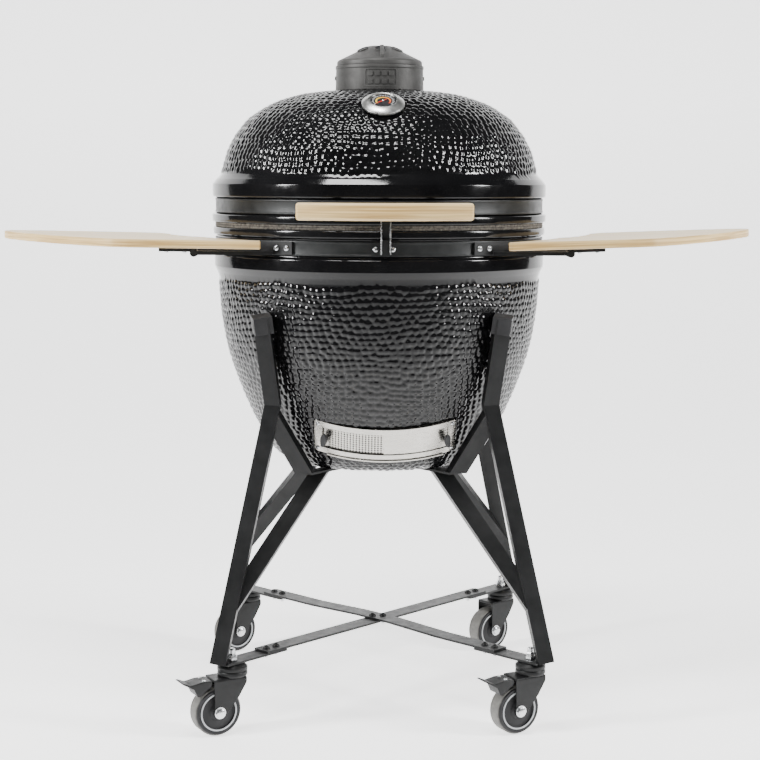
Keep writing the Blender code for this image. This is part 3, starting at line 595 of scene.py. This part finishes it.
DRAFT = JOINTS["door_slide"]
DRAFT_AXIS = Vector(DRAFT["axis"])
DRAFT_TILT = math.atan2(-DRAFT_AXIS.y, DRAFT_AXIS.z)
DRAFT_MATRIX = shift(DRAFT["pos_m"]) @ Matrix.Rotation(DRAFT_TILT, 4, "X")
DRAFT_R = 0.2070
SEAT_R = DRAFT_R - 0.0040
LEAF_LOW, LEAF_HIGH = -0.0200, 0.0240


def in_draft_frame(vertices):
    """(angle from the front, height, radius) of points about the draft door's leaning axis."""
    turn = np.array(DRAFT_MATRIX.inverted())
    local = vertices @ turn[:3, :3].T + turn[:3, 3]
    radius = np.hypot(local[..., 0], local[..., 1])
    angle = np.arctan2(local[..., 0], -local[..., 1])
    return local, angle, radius


def build_bowl():
    rim = [
        (0.2550, 0.8030), (0.2800, 0.8030), (0.2800, 0.7915), (0.2745, 0.7895), (0.2740, 0.7605),
        (0.2785, 0.7570), (0.2785, 0.7385), (0.2735, 0.7280), (0.2708, 0.7200),
    ]
    rim = rounded(rim, 0.0025, closed=False, steps=4)
    textured = [
        (0.2708, 0.7200), (0.2664, 0.6620), (0.2569, 0.6056), (0.2430, 0.5592), (0.2239, 0.5105),
        (0.2038, 0.4685), (0.1801, 0.4300), (0.1545, 0.4115), (0.1300, 0.4062),
    ]
    inside = [
        (0.1290, 0.4060), (0.0010, 0.4055), (0.0010, 0.4310), (0.1250, 0.4345), (0.1750, 0.4750),
        (0.1960, 0.5135), (0.2160, 0.5600), (0.2300, 0.6056), (0.2400, 0.6620), (0.2470, 0.7200),
        (0.2550, 0.7600),
    ]

    def trim(middle, _plain):
        local, angle, radius = in_draft_frame(middle)
        footprint = (np.abs(angle) < math.radians(33.1)) & (local[..., 1] < 0)
        footprint &= (local[..., 2] > -0.0288) & (local[..., 2] < 0.0328)
        over = footprint & (radius > SEAT_R)
        factor = np.where(over, SEAT_R / np.maximum(radius, 1e-6), 1.0)
        local = local * np.stack([factor, factor, np.ones_like(factor)], axis=-1)
        back = np.array(DRAFT_MATRIX)
        moved = local @ back[:3, :3].T + back[:3, 3]
        return np.where(over[..., None], moved, middle)

    vertices, faces = ceramic_shell(rim[:-1], textured, inside, trim)
    local, angle, radius = in_draft_frame(vertices)
    hole = (np.abs(angle) < math.radians(26.5)) & (local[:, 2] > -0.0170) & (local[:, 2] < 0.0210)
    hole &= (local[:, 1] < 0) & (radius > 0.12)
    faces = faces[~hole[faces].all(axis=1)]
    as_shell("bowl_shell", vertices, faces, "base", "bowl")


GAUGE = JOINTS["needle_turn"]
GAUGE_TILT = math.atan2(-GAUGE["axis"][1], GAUGE["axis"][2])
GAUGE_MATRIX = shift(GAUGE["pos_m"]) @ Matrix.Rotation(GAUGE_TILT, 4, "X")


def build_dome():
    rim = [
        (0.2665, 0.8895), (0.2745, 0.8820), (0.2811, 0.8735), (0.2811, 0.8535), (0.2735, 0.8505),
        (0.2735, 0.8265), (0.2815, 0.8240), (0.2815, 0.8118), (0.2565, 0.8118),
    ]
    rim = rounded(rim, 0.0026, closed=False, steps=4)
    textured = [
        (0.0745, 1.0274), (0.0841, 1.0268), (0.1345, 1.0203), (0.1799, 1.0056), (0.2177, 0.9822),
        (0.2362, 0.9606), (0.2423, 0.9523), (0.2535, 0.9306), (0.2577, 0.9180), (0.2620, 0.9040),
        (0.2665, 0.8895),
    ]
    inside = [
        (0.2565, 0.8600), (0.2440, 0.8850), (0.2320, 0.9300), (0.2200, 0.9500), (0.1970, 0.9700),
        (0.1630, 0.9860), (0.1200, 0.9980), (0.0600, 1.0040), (0.0450, 1.0050), (0.0450, 1.0284),
        (0.0720, 1.0276),
    ]

    def trim(middle, plain):
        away = np.linalg.norm(plain - np.array(GAUGE["pos_m"]), axis=-1)
        under = np.clip((away - 0.033) / 0.004, 0.0, 1.0)[..., None]
        return plain * (1 - under) + middle * under

    vertices, faces = ceramic_shell(inside[-1:], textured, rim[1:] + inside[:-1], trim)
    as_shell("dome_shell", vertices, faces, "lid", "lid_dome")


def build_bands_and_felt():
    for node, body in (("lid_band", "lid"), ("base_band", "base")):
        low, high = (corner.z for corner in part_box(node))
        profile = rounded([
            (0.2738, low), (0.2738, high), (0.2768, high), (0.2768, high - 0.0024), (0.2759, high - 0.0030),
            (0.2759, low + 0.0030), (0.2768, low + 0.0024), (0.2768, low),
        ], 0.0005)
        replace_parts(turned(f"{node}_strip", profile, BAND, body, steps=256), node)
    for node, body in (("base_gasket", "base"), ("lid_gasket", "lid")):
        low, high = (corner.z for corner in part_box(node))
        profile = rounded(rect(0.2590, low, 0.2768, high), 0.0013)
        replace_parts(turned(f"{node}_felt", profile, FELT, body, steps=256), node)


# ---------------------------------------------------------------- thermometer and vent

def build_gauge():
    profile = [
        (0.0, 0.0104), (0.0206, 0.0104), (0.0210, 0.0131), (0.0216, 0.0136), (0.0232, 0.0136),
        (0.0330, 0.0082), (0.0338, 0.0074), (0.0338, 0.0050), (0.0330, 0.0040), (0.0300, 0.0030),
        (0.0045, 0.0030), (0.0045, -0.0330), (0.0030, -0.0340), (0.0030, -0.0900), (0.0015, -0.0925),
        (0.0, -0.0930),
    ]
    case = turned("gauge_case", profile, BEZEL, "lid", GAUGE_MATRIX, closed=False)
    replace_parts(case, "thermometer_case")
    face = GAUGE_MATRIX @ shift((0, 0, 0.0109))
    plate("gauge_dial", [circle(0.0205, 64)], 0.0010, DIAL, "lid", face, bevel=0.0002)
    for index in range(28):
        reach = 0.0186 if index % 3 == 0 else 0.0172
        mark = rect(-0.0003, 0.0148, 0.0003, reach)
        at = face @ rotated(128 - index * 256 / 27, "Z") @ shift((0, 0, 0.0006))
        plate(f"gauge_mark_{index}", [mark], 0.0003, MARKS, "lid", at, 0.00005)
    outline = [
        (-0.0008, -0.0060), (0.0008, -0.0060), (0.0011, 0.0), (0.0003, 0.0160), (-0.0003, 0.0160),
        (-0.0011, 0.0),
    ]
    at = face @ shift((0, 0, 0.0014)) @ rotated(128, "Z")
    needle = plate("gauge_needle", [outline], 0.0005, NEEDLE, "needle", at, 0.0001)
    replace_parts(needle, "thermometer_needle")
    hub = [(0, 0.0026), (0.0014, 0.0025), (0.0021, 0.0019), (0.0021, 0.0010), (0, 0.0010)]
    turned("gauge_hub", hub, BEZEL, "lid", face, closed=False, steps=32)


def build_vent():
    low, high = (corner.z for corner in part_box("vent_collar"))
    profile = [
        (0.0740, 1.0290), (0.0732, high - 0.0060), (0.0741, high - 0.0050), (0.0741, high),
        (0.0674, high), (0.0676, 1.0340), (0.0400, 1.0340), (0.0400, low), (0.0440, low), (0.0440, 1.0290),
    ]
    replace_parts(turned("vent_collar_body", rounded(profile, 0.0008), CAST, "lid"), "vent_collar")
    panel_r = 0.0741
    plate("vent_panel_rim", [
        rounded(rect(-0.0270, 1.0325, 0.0270, 1.0630), 0.0034),
        rounded(rect(-0.0250, 1.0345, 0.0250, 1.0610), 0.0022),
    ], 0.0014, CAST, "lid", bend=panel_r - 0.0006, bevel=0.0004, slices=24)
    for row, z in enumerate((1.0545, 1.0412)):
        for column in range(4):
            x = -0.0171 + column * 0.0114
            pad = rounded(rect(x - 0.0037, z - 0.0038, x + 0.0037, z + 0.0038), 0.0016)
            bend = panel_r - 0.0008
            plate(f"vent_mark_{row}_{column}", [pad], 0.0028, CAST, "lid", bend=bend, bevel=0.0003, slices=4)
    cap_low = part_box("vent_cap")[0].z
    profile = [
        (0.0, 1.1035), (0.0190, 1.1035), (0.0700, 1.0790), (0.0716, 1.0765), (0.0716, cap_low),
        (0.0660, cap_low), (0.0190, 1.0985), (0.0, 1.0985),
    ]
    profile = rounded(profile, [0, 0.003, 0.004, 0.002, 0.0006, 0.0006, 0.001, 0])
    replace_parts(turned("vent_cap_body", profile, CAST, "vent", closed=False), "vent_cap")
    slope = math.atan2(1.1035 - 1.0790, 0.0700 - 0.0190)
    tilt = shift((0.0330, 0, 1.0968)) @ Matrix.Rotation(slope, 4, "Y")
    port = rounded(rect(0.0082, -0.0010, 0.0100, 0.0016), 0.0004)
    for index in range(6):
        at = rotated(60 * index + 30, "Z") @ tilt
        turned(f"vent_port_{index}", port, CAST, "vent", at, steps=48)
        # Each port is filled with a dark disc: painted shade that stands in for the shadow inside an opening,
        # as the cap under it is solid.
        at = at @ shift((0, 0, 0.0002))
        plate(f"vent_hole_shade_{index}", [circle(0.0083, 32)], 0.0008, HUB, "vent", at, 0.0001)
    nub = rounded(rect(0.0, -0.002, 0.0034, 0.0016), [0, 0, 0.001, 0])
    for side in (-1, 1):
        at = facing(Vector((side * 0.0736, 0, 1.0500)), (side, 0, 0))
        turned(f"vent_nub_{side + 1}", nub, CAST, "lid", at, closed=False, steps=24)
    fin = [(-0.0660, 1.0795), (-0.0080, 1.1010), (-0.0080, 1.1045), (-0.0240, 1.1045), (-0.0650, 1.0860)]
    lengthways = shift((0.003, 0, 0)) @ rotated(90, "Z") @ UPRIGHT
    plate("vent_fin", [rounded(fin, 0.0015)], 0.0070, CAST, "vent", lengthways, bevel=0.0015)


# ---------------------------------------------------------------- handle, guide post and hinge

def band_bolt(name, degrees, z, body, size, radius=BAND_FACE_R):
    """A bright bolt head on a band, at an angle from the front."""
    normal = from_front(degrees)
    bolt_head(name, normal * radius + Vector((0, 0, z)), normal, size, ZINC, body)


def build_handle():
    low, high = (corner.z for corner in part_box("handle_bar"))
    half = math.radians(23.3)
    reach = half * HANDLE_BEND_R
    outline = rounded(rect(-reach, low, reach, high), 0.0050, steps=6)
    bar = plate("handle_grip", [outline], 0.0235, BOARD, "lid", bend=HANDLE_BEND_R, bevel=0.0055, slices=48)
    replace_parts(bar, "handle_bar")
    half = math.radians(20) * 0.2785
    foot = rounded(rect(-half, 0.8290, half, 0.8485), 0.0030)
    strap = plate("handle_strap", [foot], 0.0028, BAND, "lid", bend=0.2785, bevel=0.0006, slices=36)
    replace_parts(strap, "handle_bracket")
    post = [(0.0, 0.0), (0.0085, 0.0), (0.0085, 0.0020), (0.0068, 0.0045), (0.0068, 0.0420), (0.0, 0.0420)]
    post = rounded(post, [0, 0.0005, 0.001, 0.001, 0.0005, 0])
    for side in (-1, 1):
        out = from_front(16 * side)
        at = facing(Vector((0, 0, 0.8360)) + out * 0.2795, out)
        turned(f"handle_post_{side + 1}", post, BAND, "lid", at, closed=False, steps=40)
    for index, degrees in enumerate((-19, -12, 12, 19)):
        band_bolt(f"handle_bolt_{index}", degrees, 0.8385, "lid", 0.0036, 0.2799)


def build_guide_post():
    keep("guide_post", BAND, 0.0007)
    low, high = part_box("guide_post")
    # Thin bright zinc rods along the post's two front edges are painted highlights: they stand in for the
    # bright lines that light draws along those edges.
    for side in (-1, 1):
        x, y = (low.x + high.x) / 2 + side * 0.0069, low.y - 0.0002
        ends = [(x, y, low.z + 0.003), (x, y, high.z - 0.003)]
        pipe(f"guide_highlight_rod_{side + 1}", ends, 0.0011, ZINC, "base")
    for index, x in enumerate((-0.0131, 0.0135)):
        degrees = math.degrees(x / 0.281)
        band_bolt(f"guide_bolt_{index}", degrees, BASE_BAND_Z, "base", 0.0042)


def coil(name, centre, radius, wire, turns, length, look, body):
    """A spring along X."""
    points = []
    per_turn = 20
    for step in range(turns * per_turn + 1):
        t = step / per_turn
        angle = 2 * math.pi * t
        x = length * (t / turns - 0.5)
        points.append(Vector(centre) + Vector((x, radius * math.cos(angle), radius * math.sin(angle))))
    return pipe(name, points, wire, look, body, resolution=2)


def build_hinge():
    keep("hinge_lower", BAND, 0.0009)
    keep("hinge_upper", BAND, 0.0009)
    keep("hinge_pin", ZINC, 0.0006)
    coil("hinge_spring", JOINTS["lid_hinge"]["pos_m"], 0.0092, 0.0016, 14, 0.0600, ZINC, "base")
    for side in (-1, 1):
        for half, body, z in (("upper", "lid", LID_BAND_Z), ("lower", "base", BASE_BAND_Z)):
            band_bolt(f"hinge_bolt_{half}_{side + 1}", 180 - side * 6, z, body, 0.0042)


# ---------------------------------------------------------------- draft door

def build_draft_door():
    outer = DRAFT_R + 0.0054
    reach = math.radians(32.5) * outer
    low, high = -0.0268, 0.0308
    inner = math.radians(28.5) * outer
    frame_piece = plate("draft_face", [
        rounded(rect(-reach, low, reach, high), 0.0045, steps=4),
        rounded(rect(-inner, -0.0168, inner, 0.0208), 0.0012),
    ], 0.0012, STEEL, "base", DRAFT_MATRIX, bend=outer, bevel=0.0003, slices=60)
    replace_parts(frame_piece, "draft_frame")
    for name, z0, z1 in (("upper", 0.0246, 0.0306), ("lower", -0.0266, -0.0206)):
        profile = rounded(rect(DRAFT_R - 0.0036, z0, outer - 0.0008, z1), 0.0005)
        span = (math.radians(-122), math.radians(-58))
        turned(f"draft_rail_{name}", profile, STEEL, "base", DRAFT_MATRIX, steps=60, span=span)
    roll = rounded(rect(outer + 0.0004, -0.0292, outer + 0.0030, -0.0262), 0.0009)
    span = (math.radians(-116), math.radians(-64))
    turned("draft_sill", roll, STEEL, "base", DRAFT_MATRIX, steps=60, span=span)
    screw = [
        (0, 0.0006), (0.0012, 0.0007), (0.0016, 0.0021), (0.0026, 0.0018), (0.0034, 0.0009), (0.0036, 0.0),
        (0, 0.0),
    ]
    corners = ((-30.6, 0.0250), (-30.6, -0.0205), (30.6, 0.0250), (30.6, -0.0205))
    for index, (degrees, z) in enumerate(corners):
        normal = from_front(degrees)
        at = DRAFT_MATRIX @ facing(normal * (outer + 0.0004) + Vector((0, 0, z)), normal)
        turned(f"draft_screw_{index}", screw, ZINC, "base", at, closed=False, steps=24)
    build_screen()
    build_door_leaf()


def grip(name, degrees, radius, body):
    """A leaf-shaped pull that stands out from a draft leaf on a short stalk."""
    normal = from_front(degrees)
    stalk = DRAFT_MATRIX @ facing(normal * radius, normal)
    profile = rounded(rect(0, 0.0, 0.0032, 0.0120), [0, 0.0004, 0.0004, 0])
    turned(f"{name}_stalk", profile, PLASTIC, body, stalk, closed=False, steps=24)
    leaf = []
    for step in range(24):
        t = 2 * math.pi * step / 24
        leaf.append((0.0062 * math.sin(t) * (1 + 0.25 * math.cos(t)), 0.0135 * math.cos(t)))
    side = -1 if degrees < 0 else 1
    lean = rotated(18 * side, "Y") @ rotated(14 * side, "Z")
    plate(f"{name}_leaf", [leaf], 0.0042, PLASTIC, body, stalk @ shift((0, 0, 0.0105)) @ lean, bevel=0.0015)


def build_screen():
    """The left leaf: a thin plate with rows of round holes."""
    radius = DRAFT_R + 0.0021
    columns, rows = 18, 9
    right = -math.radians(1.0) * radius
    middle = 0.0020
    pitch_x, pitch_z = 0.0050, 0.0041
    holes = []
    for column in range(columns):
        for row in range(rows):
            centre = (right - 0.0035 - column * pitch_x, middle + (row - (rows - 1) / 2) * pitch_z)
            holes.append(circle(0.00145, 10, centre))
    outline = rect(-math.radians(28.8) * radius, LEAF_LOW, math.radians(0.8) * radius, LEAF_HIGH)
    screen = plate("draft_screen_leaf", [outline] + holes, 0.0009, STEEL, "screen_leaf", DRAFT_MATRIX,
                   bevel=0.0001, bend=radius, slices=40)
    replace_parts(screen, "draft_screen")
    grip("screen_grip", -27.0, radius, "screen_leaf")


def build_door_leaf():
    radius = DRAFT_R + 0.0037
    outline = rect(-math.radians(0.8) * radius, LEAF_LOW, math.radians(28.8) * radius, LEAF_HIGH)
    door = plate("draft_door_leaf", [outline], 0.0011, STEEL, "door_leaf", DRAFT_MATRIX,
                 bevel=0.0002, bend=radius, slices=40)
    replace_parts(door, "draft_door")
    grip("door_grip", 27.0, radius, "door_leaf")


# ---------------------------------------------------------------- shelves

def shelf_line(inner_corner, outwards):
    """The shelf's outline as distance out from the middle plane and Y, smoothed round its corners."""
    angles = np.radians(np.linspace(-21, -51.5, 10))
    inner = [(0.3060 * math.cos(angle), 0.3060 * math.sin(angle)) for angle in angles]
    front = [
        (inner_corner, -0.2440), (0.3950, -0.2440), (0.4260, -0.2360), (0.4740, -0.1940), (0.5270, -0.1360),
        (0.5850, -0.0560), (0.6330, 0.0280), (0.6450, 0.0620), (0.6400, 0.0860), (0.6200, 0.0930),
        (0.5200, 0.0900), (0.4300, 0.0800), (0.3860, 0.0680), (0.3620, 0.0420), (0.3450, -0.0200),
        (0.3260, -0.0640), (0.3060, -0.0940),
    ]
    radii = [0.002] * len(inner) + [
        0.003, 0.03, 0.05, 0.2, 0.2, 0.2, 0.05, 0.02, 0.014, 0.03, 0.1, 0.05, 0.03, 0.04, 0.1, 0.1, 0.02,
    ]
    return [(x + outwards, y) for x, y in rounded(inner + front, radii, steps=4)]


def build_shelf(side, sign):
    joint = JOINTS[f"{side}_shelf_fold"]
    pin_x, pin_z = joint["pos_m"][0], joint["pos_m"][2]
    mount = next(m for m in RECORD["mounts"] if m["name"] == f"shelf_{side}_top")
    tilt = math.atan2(mount["axis"][0], mount["axis"][2])
    placed = shift((pin_x, 0, pin_z)) @ Matrix.Rotation(tilt, 4, "Y")
    rise, thick = 0.0214, 0.0135
    outline = [(sign * x - pin_x, y) for x, y in shelf_line(*SHELF_REACH[side])]
    body = f"{side}_shelf"
    board = plate(f"shelf_board_{side}", [outline], thick, BOARD, body,
                  placed @ shift((0, 0, rise - thick / 2)), bevel=0.0022)
    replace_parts(board, f"shelf_{side}")
    for row, y in enumerate((-0.2120, -0.1180)):
        near, far = sorted((-sign * 0.0040, sign * 0.0550))
        low, high = (near, y - 0.0085, 0.0016), (far, y + 0.0085, rise - thick)
        block(f"shelf_arm_{side}_{row}", low, high, STAND, body, placed, 0.0009)
        knuckle = rounded(rect(0.0028, -0.0085, 0.0060, 0.0085), 0.0005)
        at = placed @ facing((0, y, 0), (0, 1, 0))
        turned(f"shelf_knuckle_{side}_{row}", knuckle, STAND, body, at, steps=40)
        for index, out in enumerate((0.016, 0.044)):
            at = placed @ Vector((sign * out, y, 0.0016))
            bolt_head(f"shelf_screw_{side}_{row}_{index}", at, (0, 0, -1), 0.0036, ZINC, body)
    keep(f"shelf_bracket_{side}", STAND, 0.0007)
    for index, degrees in enumerate((32.5, 36.5, 58.0, 66.0)):
        name = f"bracket_bolt_{side}_{index}"
        band_bolt(name, sign * degrees, BASE_BAND_Z, "base", 0.0046)


# ---------------------------------------------------------------- stand

def build_stand():
    for corner in CORNERS:
        keep(f"leg_{corner}", STAND, 0.0022)
        keep(f"brace_{corner}", STAND, 0.0022)
        keep(f"leg_pad_{corner}", PLASTIC, 0.0025)
    for node in ("strap_upper", "strap_lower", "bowl_cross"):
        keep(node, STAND, 0.0008, 2)
    straps_low, ends_high = (corner.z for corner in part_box("strap_lower"))
    ends_low, straps_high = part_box("leg_front_left")[0].z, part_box("strap_upper")[1].z
    for sx, sy in CORNERS.values():
        for index, t in enumerate((0.172, 0.187)):
            strap_bolt(f"strap_bolt_{sx + 1}_{sy + 1}_{index}", sx * t, sy * t, ends_low, ends_high)
    for index, offset in enumerate((-0.009, 0.009)):
        strap_bolt(f"centre_bolt_{index}", offset, 0, straps_low, straps_high)


def strap_bolt(name, x, y, low, high):
    """A dark domed head on top of the straps, its bright nut and thread end below them."""
    bolt_head(name, (x, y, high), (0, 0, 1), 0.0062, STAND, "base")
    bolt_head(f"{name}_nut", (x, y, low), (0, 0, -1), 0.0066, ZINC, "base", True)
    end = [(0, 0.0075), (0.0022, 0.0075), (0.0030, 0.0066), (0.0030, 0), (0, 0)]
    turned(f"{name}_end", end, ZINC, "base", facing((x, y, low), (0, 0, -1)), closed=False, steps=16)


# ---------------------------------------------------------------- casters

def caster_matrix(corner):
    swivel = JOINTS[f"swivel_turn_{corner}"]["pos_m"]
    spin = JOINTS[f"wheel_spin_{corner}"]["axis"]
    return shift((swivel[0], swivel[1], 0)) @ Matrix.Rotation(math.atan2(-spin[0], spin[1]), 4, "Z")


def build_caster(corner):
    placed = caster_matrix(corner)
    base, swivel, wheel_body = "base", f"swivel_{corner}", f"wheel_{corner}"
    axle_at = placed.inverted() @ Vector(JOINTS[f"wheel_spin_{corner}"]["pos_m"])
    half = 0.0150
    inner, outer = half + 0.0022, half + 0.0047

    stem = [
        (0.0, 0.1370), (0.0032, 0.1368), (0.0050, 0.1345), (0.0050, 0.1246), (0.0050, 0.1132),
        (0.0062, 0.1132), (0.0062, 0.1026), (0.0, 0.1026),
    ]
    stem = rounded(stem, [0, 0.001, 0.001, 0, 0, 0.001, 0.0005, 0])
    stem = turned(f"stem_{corner}", stem, ZINC, base, placed, closed=False, steps=64)
    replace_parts(stem, f"caster_stem_{corner}")
    race = [
        (0.0064, 0.1132), (0.0150, 0.1132), (0.0200, 0.1118), (0.0243, 0.1078), (0.0243, 0.1026),
        (0.0064, 0.1026),
    ]
    race = rounded(race, [0, 0.001, 0.002, 0.001, 0.0005, 0])
    turned(f"stem_race_{corner}", race, STAND, base, placed, steps=64)
    nut = [
        (0.0, 0.1300), (0.0040, 0.1298), (0.0062, 0.1280), (0.0070, 0.1240), (0.0085, 0.1236),
        (0.0089, 0.1226), (0.0089, 0.1174), (0.0, 0.1174),
    ]
    turned(f"stem_nut_{corner}", nut, ZINC, base, placed, closed=False, steps=6)

    race = [
        (0.0, 0.1022), (0.0225, 0.1022), (0.0240, 0.1000), (0.0244, 0.0960), (0.0230, 0.0928),
        (0.0, 0.0928),
    ]
    race = rounded(race, [0, 0.0008, 0.001, 0.001, 0.001, 0])
    fork = turned(f"fork_race_{corner}", race, STAND, swivel, placed, closed=False, steps=64)
    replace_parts(fork, f"caster_fork_{corner}")
    low, high = (-0.0390, -outer, 0.0888), (0.0172, outer, 0.0933)
    block(f"fork_saddle_{corner}", low, high, STAND, swivel, placed, 0.0016)
    hub_x = axle_at.x
    cheek = [
        (0.0172, 0.0925), (-0.0390, 0.0925), (-0.0390, 0.0760), (-0.0385, 0.0500), (-0.0395, 0.0380),
        (hub_x - 0.004, 0.0298), (hub_x + 0.009, 0.0320), (0.0040, 0.0630), (0.0168, 0.0840),
    ]
    cheek = rounded(cheek, [0.004, 0.004, 0.02, 0.02, 0.008, 0.007, 0.008, 0.02, 0.008])
    nut = [(0, 0.0056), (0.0058, 0.0056), (0.0076, 0.0046), (0.0078, 0.0006), (0.0, 0.0006)]
    washer = [(0.0042, 0.0012), (0.0094, 0.0012), (0.0096, 0.0002), (0.0042, 0.0002)]
    for side in (-1, 1):
        at = placed @ shift((0, side * (inner + outer) / 2, 0)) @ UPRIGHT
        plate(f"fork_cheek_{corner}_{side + 1}", [cheek], outer - inner, STAND, swivel, at, 0.0008)
        head = placed @ shift(axle_at + Vector((0, side * outer, 0))) @ rotated(-90 * side, "X")
        turned(f"axle_nut_{corner}_{side + 1}", nut, ZINC, swivel, head, closed=False, steps=6)
        turned(f"axle_washer_{corner}_{side + 1}", washer, ZINC, swivel, head, steps=48)
    wheel = placed @ shift(axle_at) @ UPRIGHT
    axle = [(0, 0.0215), (0.0038, 0.0215), (0.0038, -0.0215), (0, -0.0215)]
    axle = turned(f"axle_{corner}", axle, ZINC, swivel, wheel, closed=False, steps=32)
    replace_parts(axle, f"caster_axle_{corner}")

    shoulder = half - 0.0030
    tread = [
        (0.0340, shoulder), (0.0383, shoulder), (0.0394, half - 0.0050),
        (0.0394, -half + 0.0050), (0.0383, -shoulder), (0.0340, -shoulder),
    ]
    tread = rounded(tread, [0.001, 0.001, 0.002, 0.002, 0.001, 0.001])
    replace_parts(turned(f"tread_{corner}", tread, TREAD, wheel_body, wheel), f"caster_wheel_{corner}")
    hub_face = [
        (0.0345, 0.0031), (0.0376, 0.0029), (0.0360, 0.0), (0.0300, 0.0010), (0.0270, 0.0040),
        (0.0150, 0.0030), (0.0110, -0.0010), (0.0044, -0.0010),
    ]
    hub = [(r, inset - half) for r, inset in hub_face]
    hub += [(r, half - inset) for r, inset in reversed(hub_face)]
    turned(f"hub_{corner}", rounded(hub, 0.0009), HUB, wheel_body, wheel)
    for side in (-1, 1):
        ring = rounded(rect(0.0284, side * (half - 0.0014), 0.0309, side * (half + 0.0003)), 0.0004)
        turned(f"hub_ring_{corner}_{side + 1}", ring, RING, wheel_body, wheel)


def build_pedal(side):
    corner = f"front_{side}"
    body = f"pedal_{side}"
    placed = caster_matrix(corner)
    local = placed @ shift(placed.inverted() @ Vector(JOINTS[f"pedal_tip_{side}"]["pos_m"]))
    line = [
        (0.0035, 0.0045), (-0.0150, 0.0045), (-0.0320, 0.0015), (-0.0440, 0.0065), (-0.0470, 0.0055),
        (-0.0340, -0.0020), (-0.0270, -0.0060), (-0.0210, -0.0190), (-0.0150, -0.0165), (-0.0050, -0.0095),
        (0.0035, -0.0040),
    ]
    lever = plate(f"pedal_lever_{side}", [rounded(line, 0.002)], 0.0330, STAND, body, local @ UPRIGHT, 0.0016)
    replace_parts(lever, f"brake_pedal_{side}")
    for index, y in enumerate((-0.0090, 0.0090)):
        at = local @ Vector((-0.0080, y, 0.0044))
        bolt_head(f"pedal_rivet_{side}_{index}", at, (0, 0, 1), 0.0032, ZINC, body)


# ---------------------------------------------------------------- inside the body

def build_inside():
    keep("fire_box", CLAY, 0.003)
    keep("fire_ring", CLAY, 0.003)
    keep("charcoal_grate", CAST, 0.0008, 2)
    keep("cooking_grate", STEEL, 0.0008, 2)


# ---------------------------------------------------------------- studio

def build_studio():
    """A pale floor that curves up into a backdrop behind the grill."""
    bend = [(2.2 + 1.2 * math.sin(a), 1.2 - 1.2 * math.cos(a)) for a in np.linspace(0, math.pi / 2, 16)]
    outline = [(-4.0, 0.0)] + bend + [(3.4, 4.5)]
    vertices = [(x, y, z) for y, z in outline for x in (-5.0, 5.0)]
    faces = [(2 * k, 2 * k + 1, 2 * k + 3, 2 * k + 2) for k in range(len(outline) - 1)]
    mesh = mesh_from("studio_floor", vertices, faces)
    floor = bpy.data.objects.new("studio_floor", mesh)
    paper = Look("studio_paper", (0.93, 0.93, 0.93), 0.9, Emission_Color=(1.0, 1.0, 1.0, 1.0))
    # The paper is painted darker towards the front, and its glow falls from 1.5 at the back to 0.15 in front.
    # At the back this is painted light that makes the backdrop glow white and lights the grill from behind.
    # In front it is painted shade that keeps the floor's reflection in the glaze dark.
    depth = paper.axis("Y")
    paper.color(paper.spread(depth, 0.75, 0.93, -1.6, -0.45))
    paper.wire(paper.spread(depth, 0.15, 1.5, -1.0, -0.45), paper.shader.inputs["Emission Strength"])
    mesh.materials.append(paper.material)
    mesh.shade_smooth()
    bpy.context.scene.collection.objects.link(floor)


def softbox(name, at, target, width, height, power):
    data = bpy.data.lights.new(name, "AREA")
    data.shape = "RECTANGLE"
    data.size = width
    data.size_y = height
    data.energy = power
    lamp = bpy.data.objects.new(name, data)
    aim = (Vector(target) - Vector(at)).to_track_quat("-Z", "Y")
    lamp.matrix_world = shift(at) @ aim.to_matrix().to_4x4()
    bpy.context.scene.collection.objects.link(lamp)


def build_lights():
    middle = (0, 0, 0.7)
    softbox("left_box", (-2.7, -1.2, 1.7), middle, 0.45, 1.3, 130)
    softbox("right_box", (2.7, -1.0, 1.7), middle, 0.45, 1.3, 115)
    softbox("top_box", (-0.5, -0.9, 3.0), middle, 1.2, 0.5, 60)
    world = bpy.data.worlds.new("studio_world")
    world.use_nodes = True
    background = world.node_tree.nodes["Background"]
    background.inputs["Color"].default_value = (0.9, 0.92, 0.95, 1.0)
    background.inputs["Strength"].default_value = 0.06
    bpy.context.scene.world = world


def build_camera():
    data = bpy.data.cameras.new("camera")
    data.lens = 77.97
    data.sensor_width = 36.0
    camera = bpy.data.objects.new("camera", data)
    turn = rotated(-1.667, "Z") @ rotated(90 - 6.96, "X")
    camera.matrix_world = shift((-0.0792, -2.8078, 0.8824)) @ turn @ rotated(0.207, "Z")
    bpy.context.scene.collection.objects.link(camera)
    bpy.context.scene.camera = camera


build_bowl()
build_dome()
build_bands_and_felt()
build_gauge()
build_vent()
build_handle()
build_guide_post()
build_hinge()
build_draft_door()
for side, sign in (("left", -1), ("right", 1)):
    build_shelf(side, sign)
build_stand()
for corner in CORNERS:
    build_caster(corner)
for side in ("left", "right"):
    build_pedal(side)
build_inside()
build_studio()
build_lights()
build_camera()
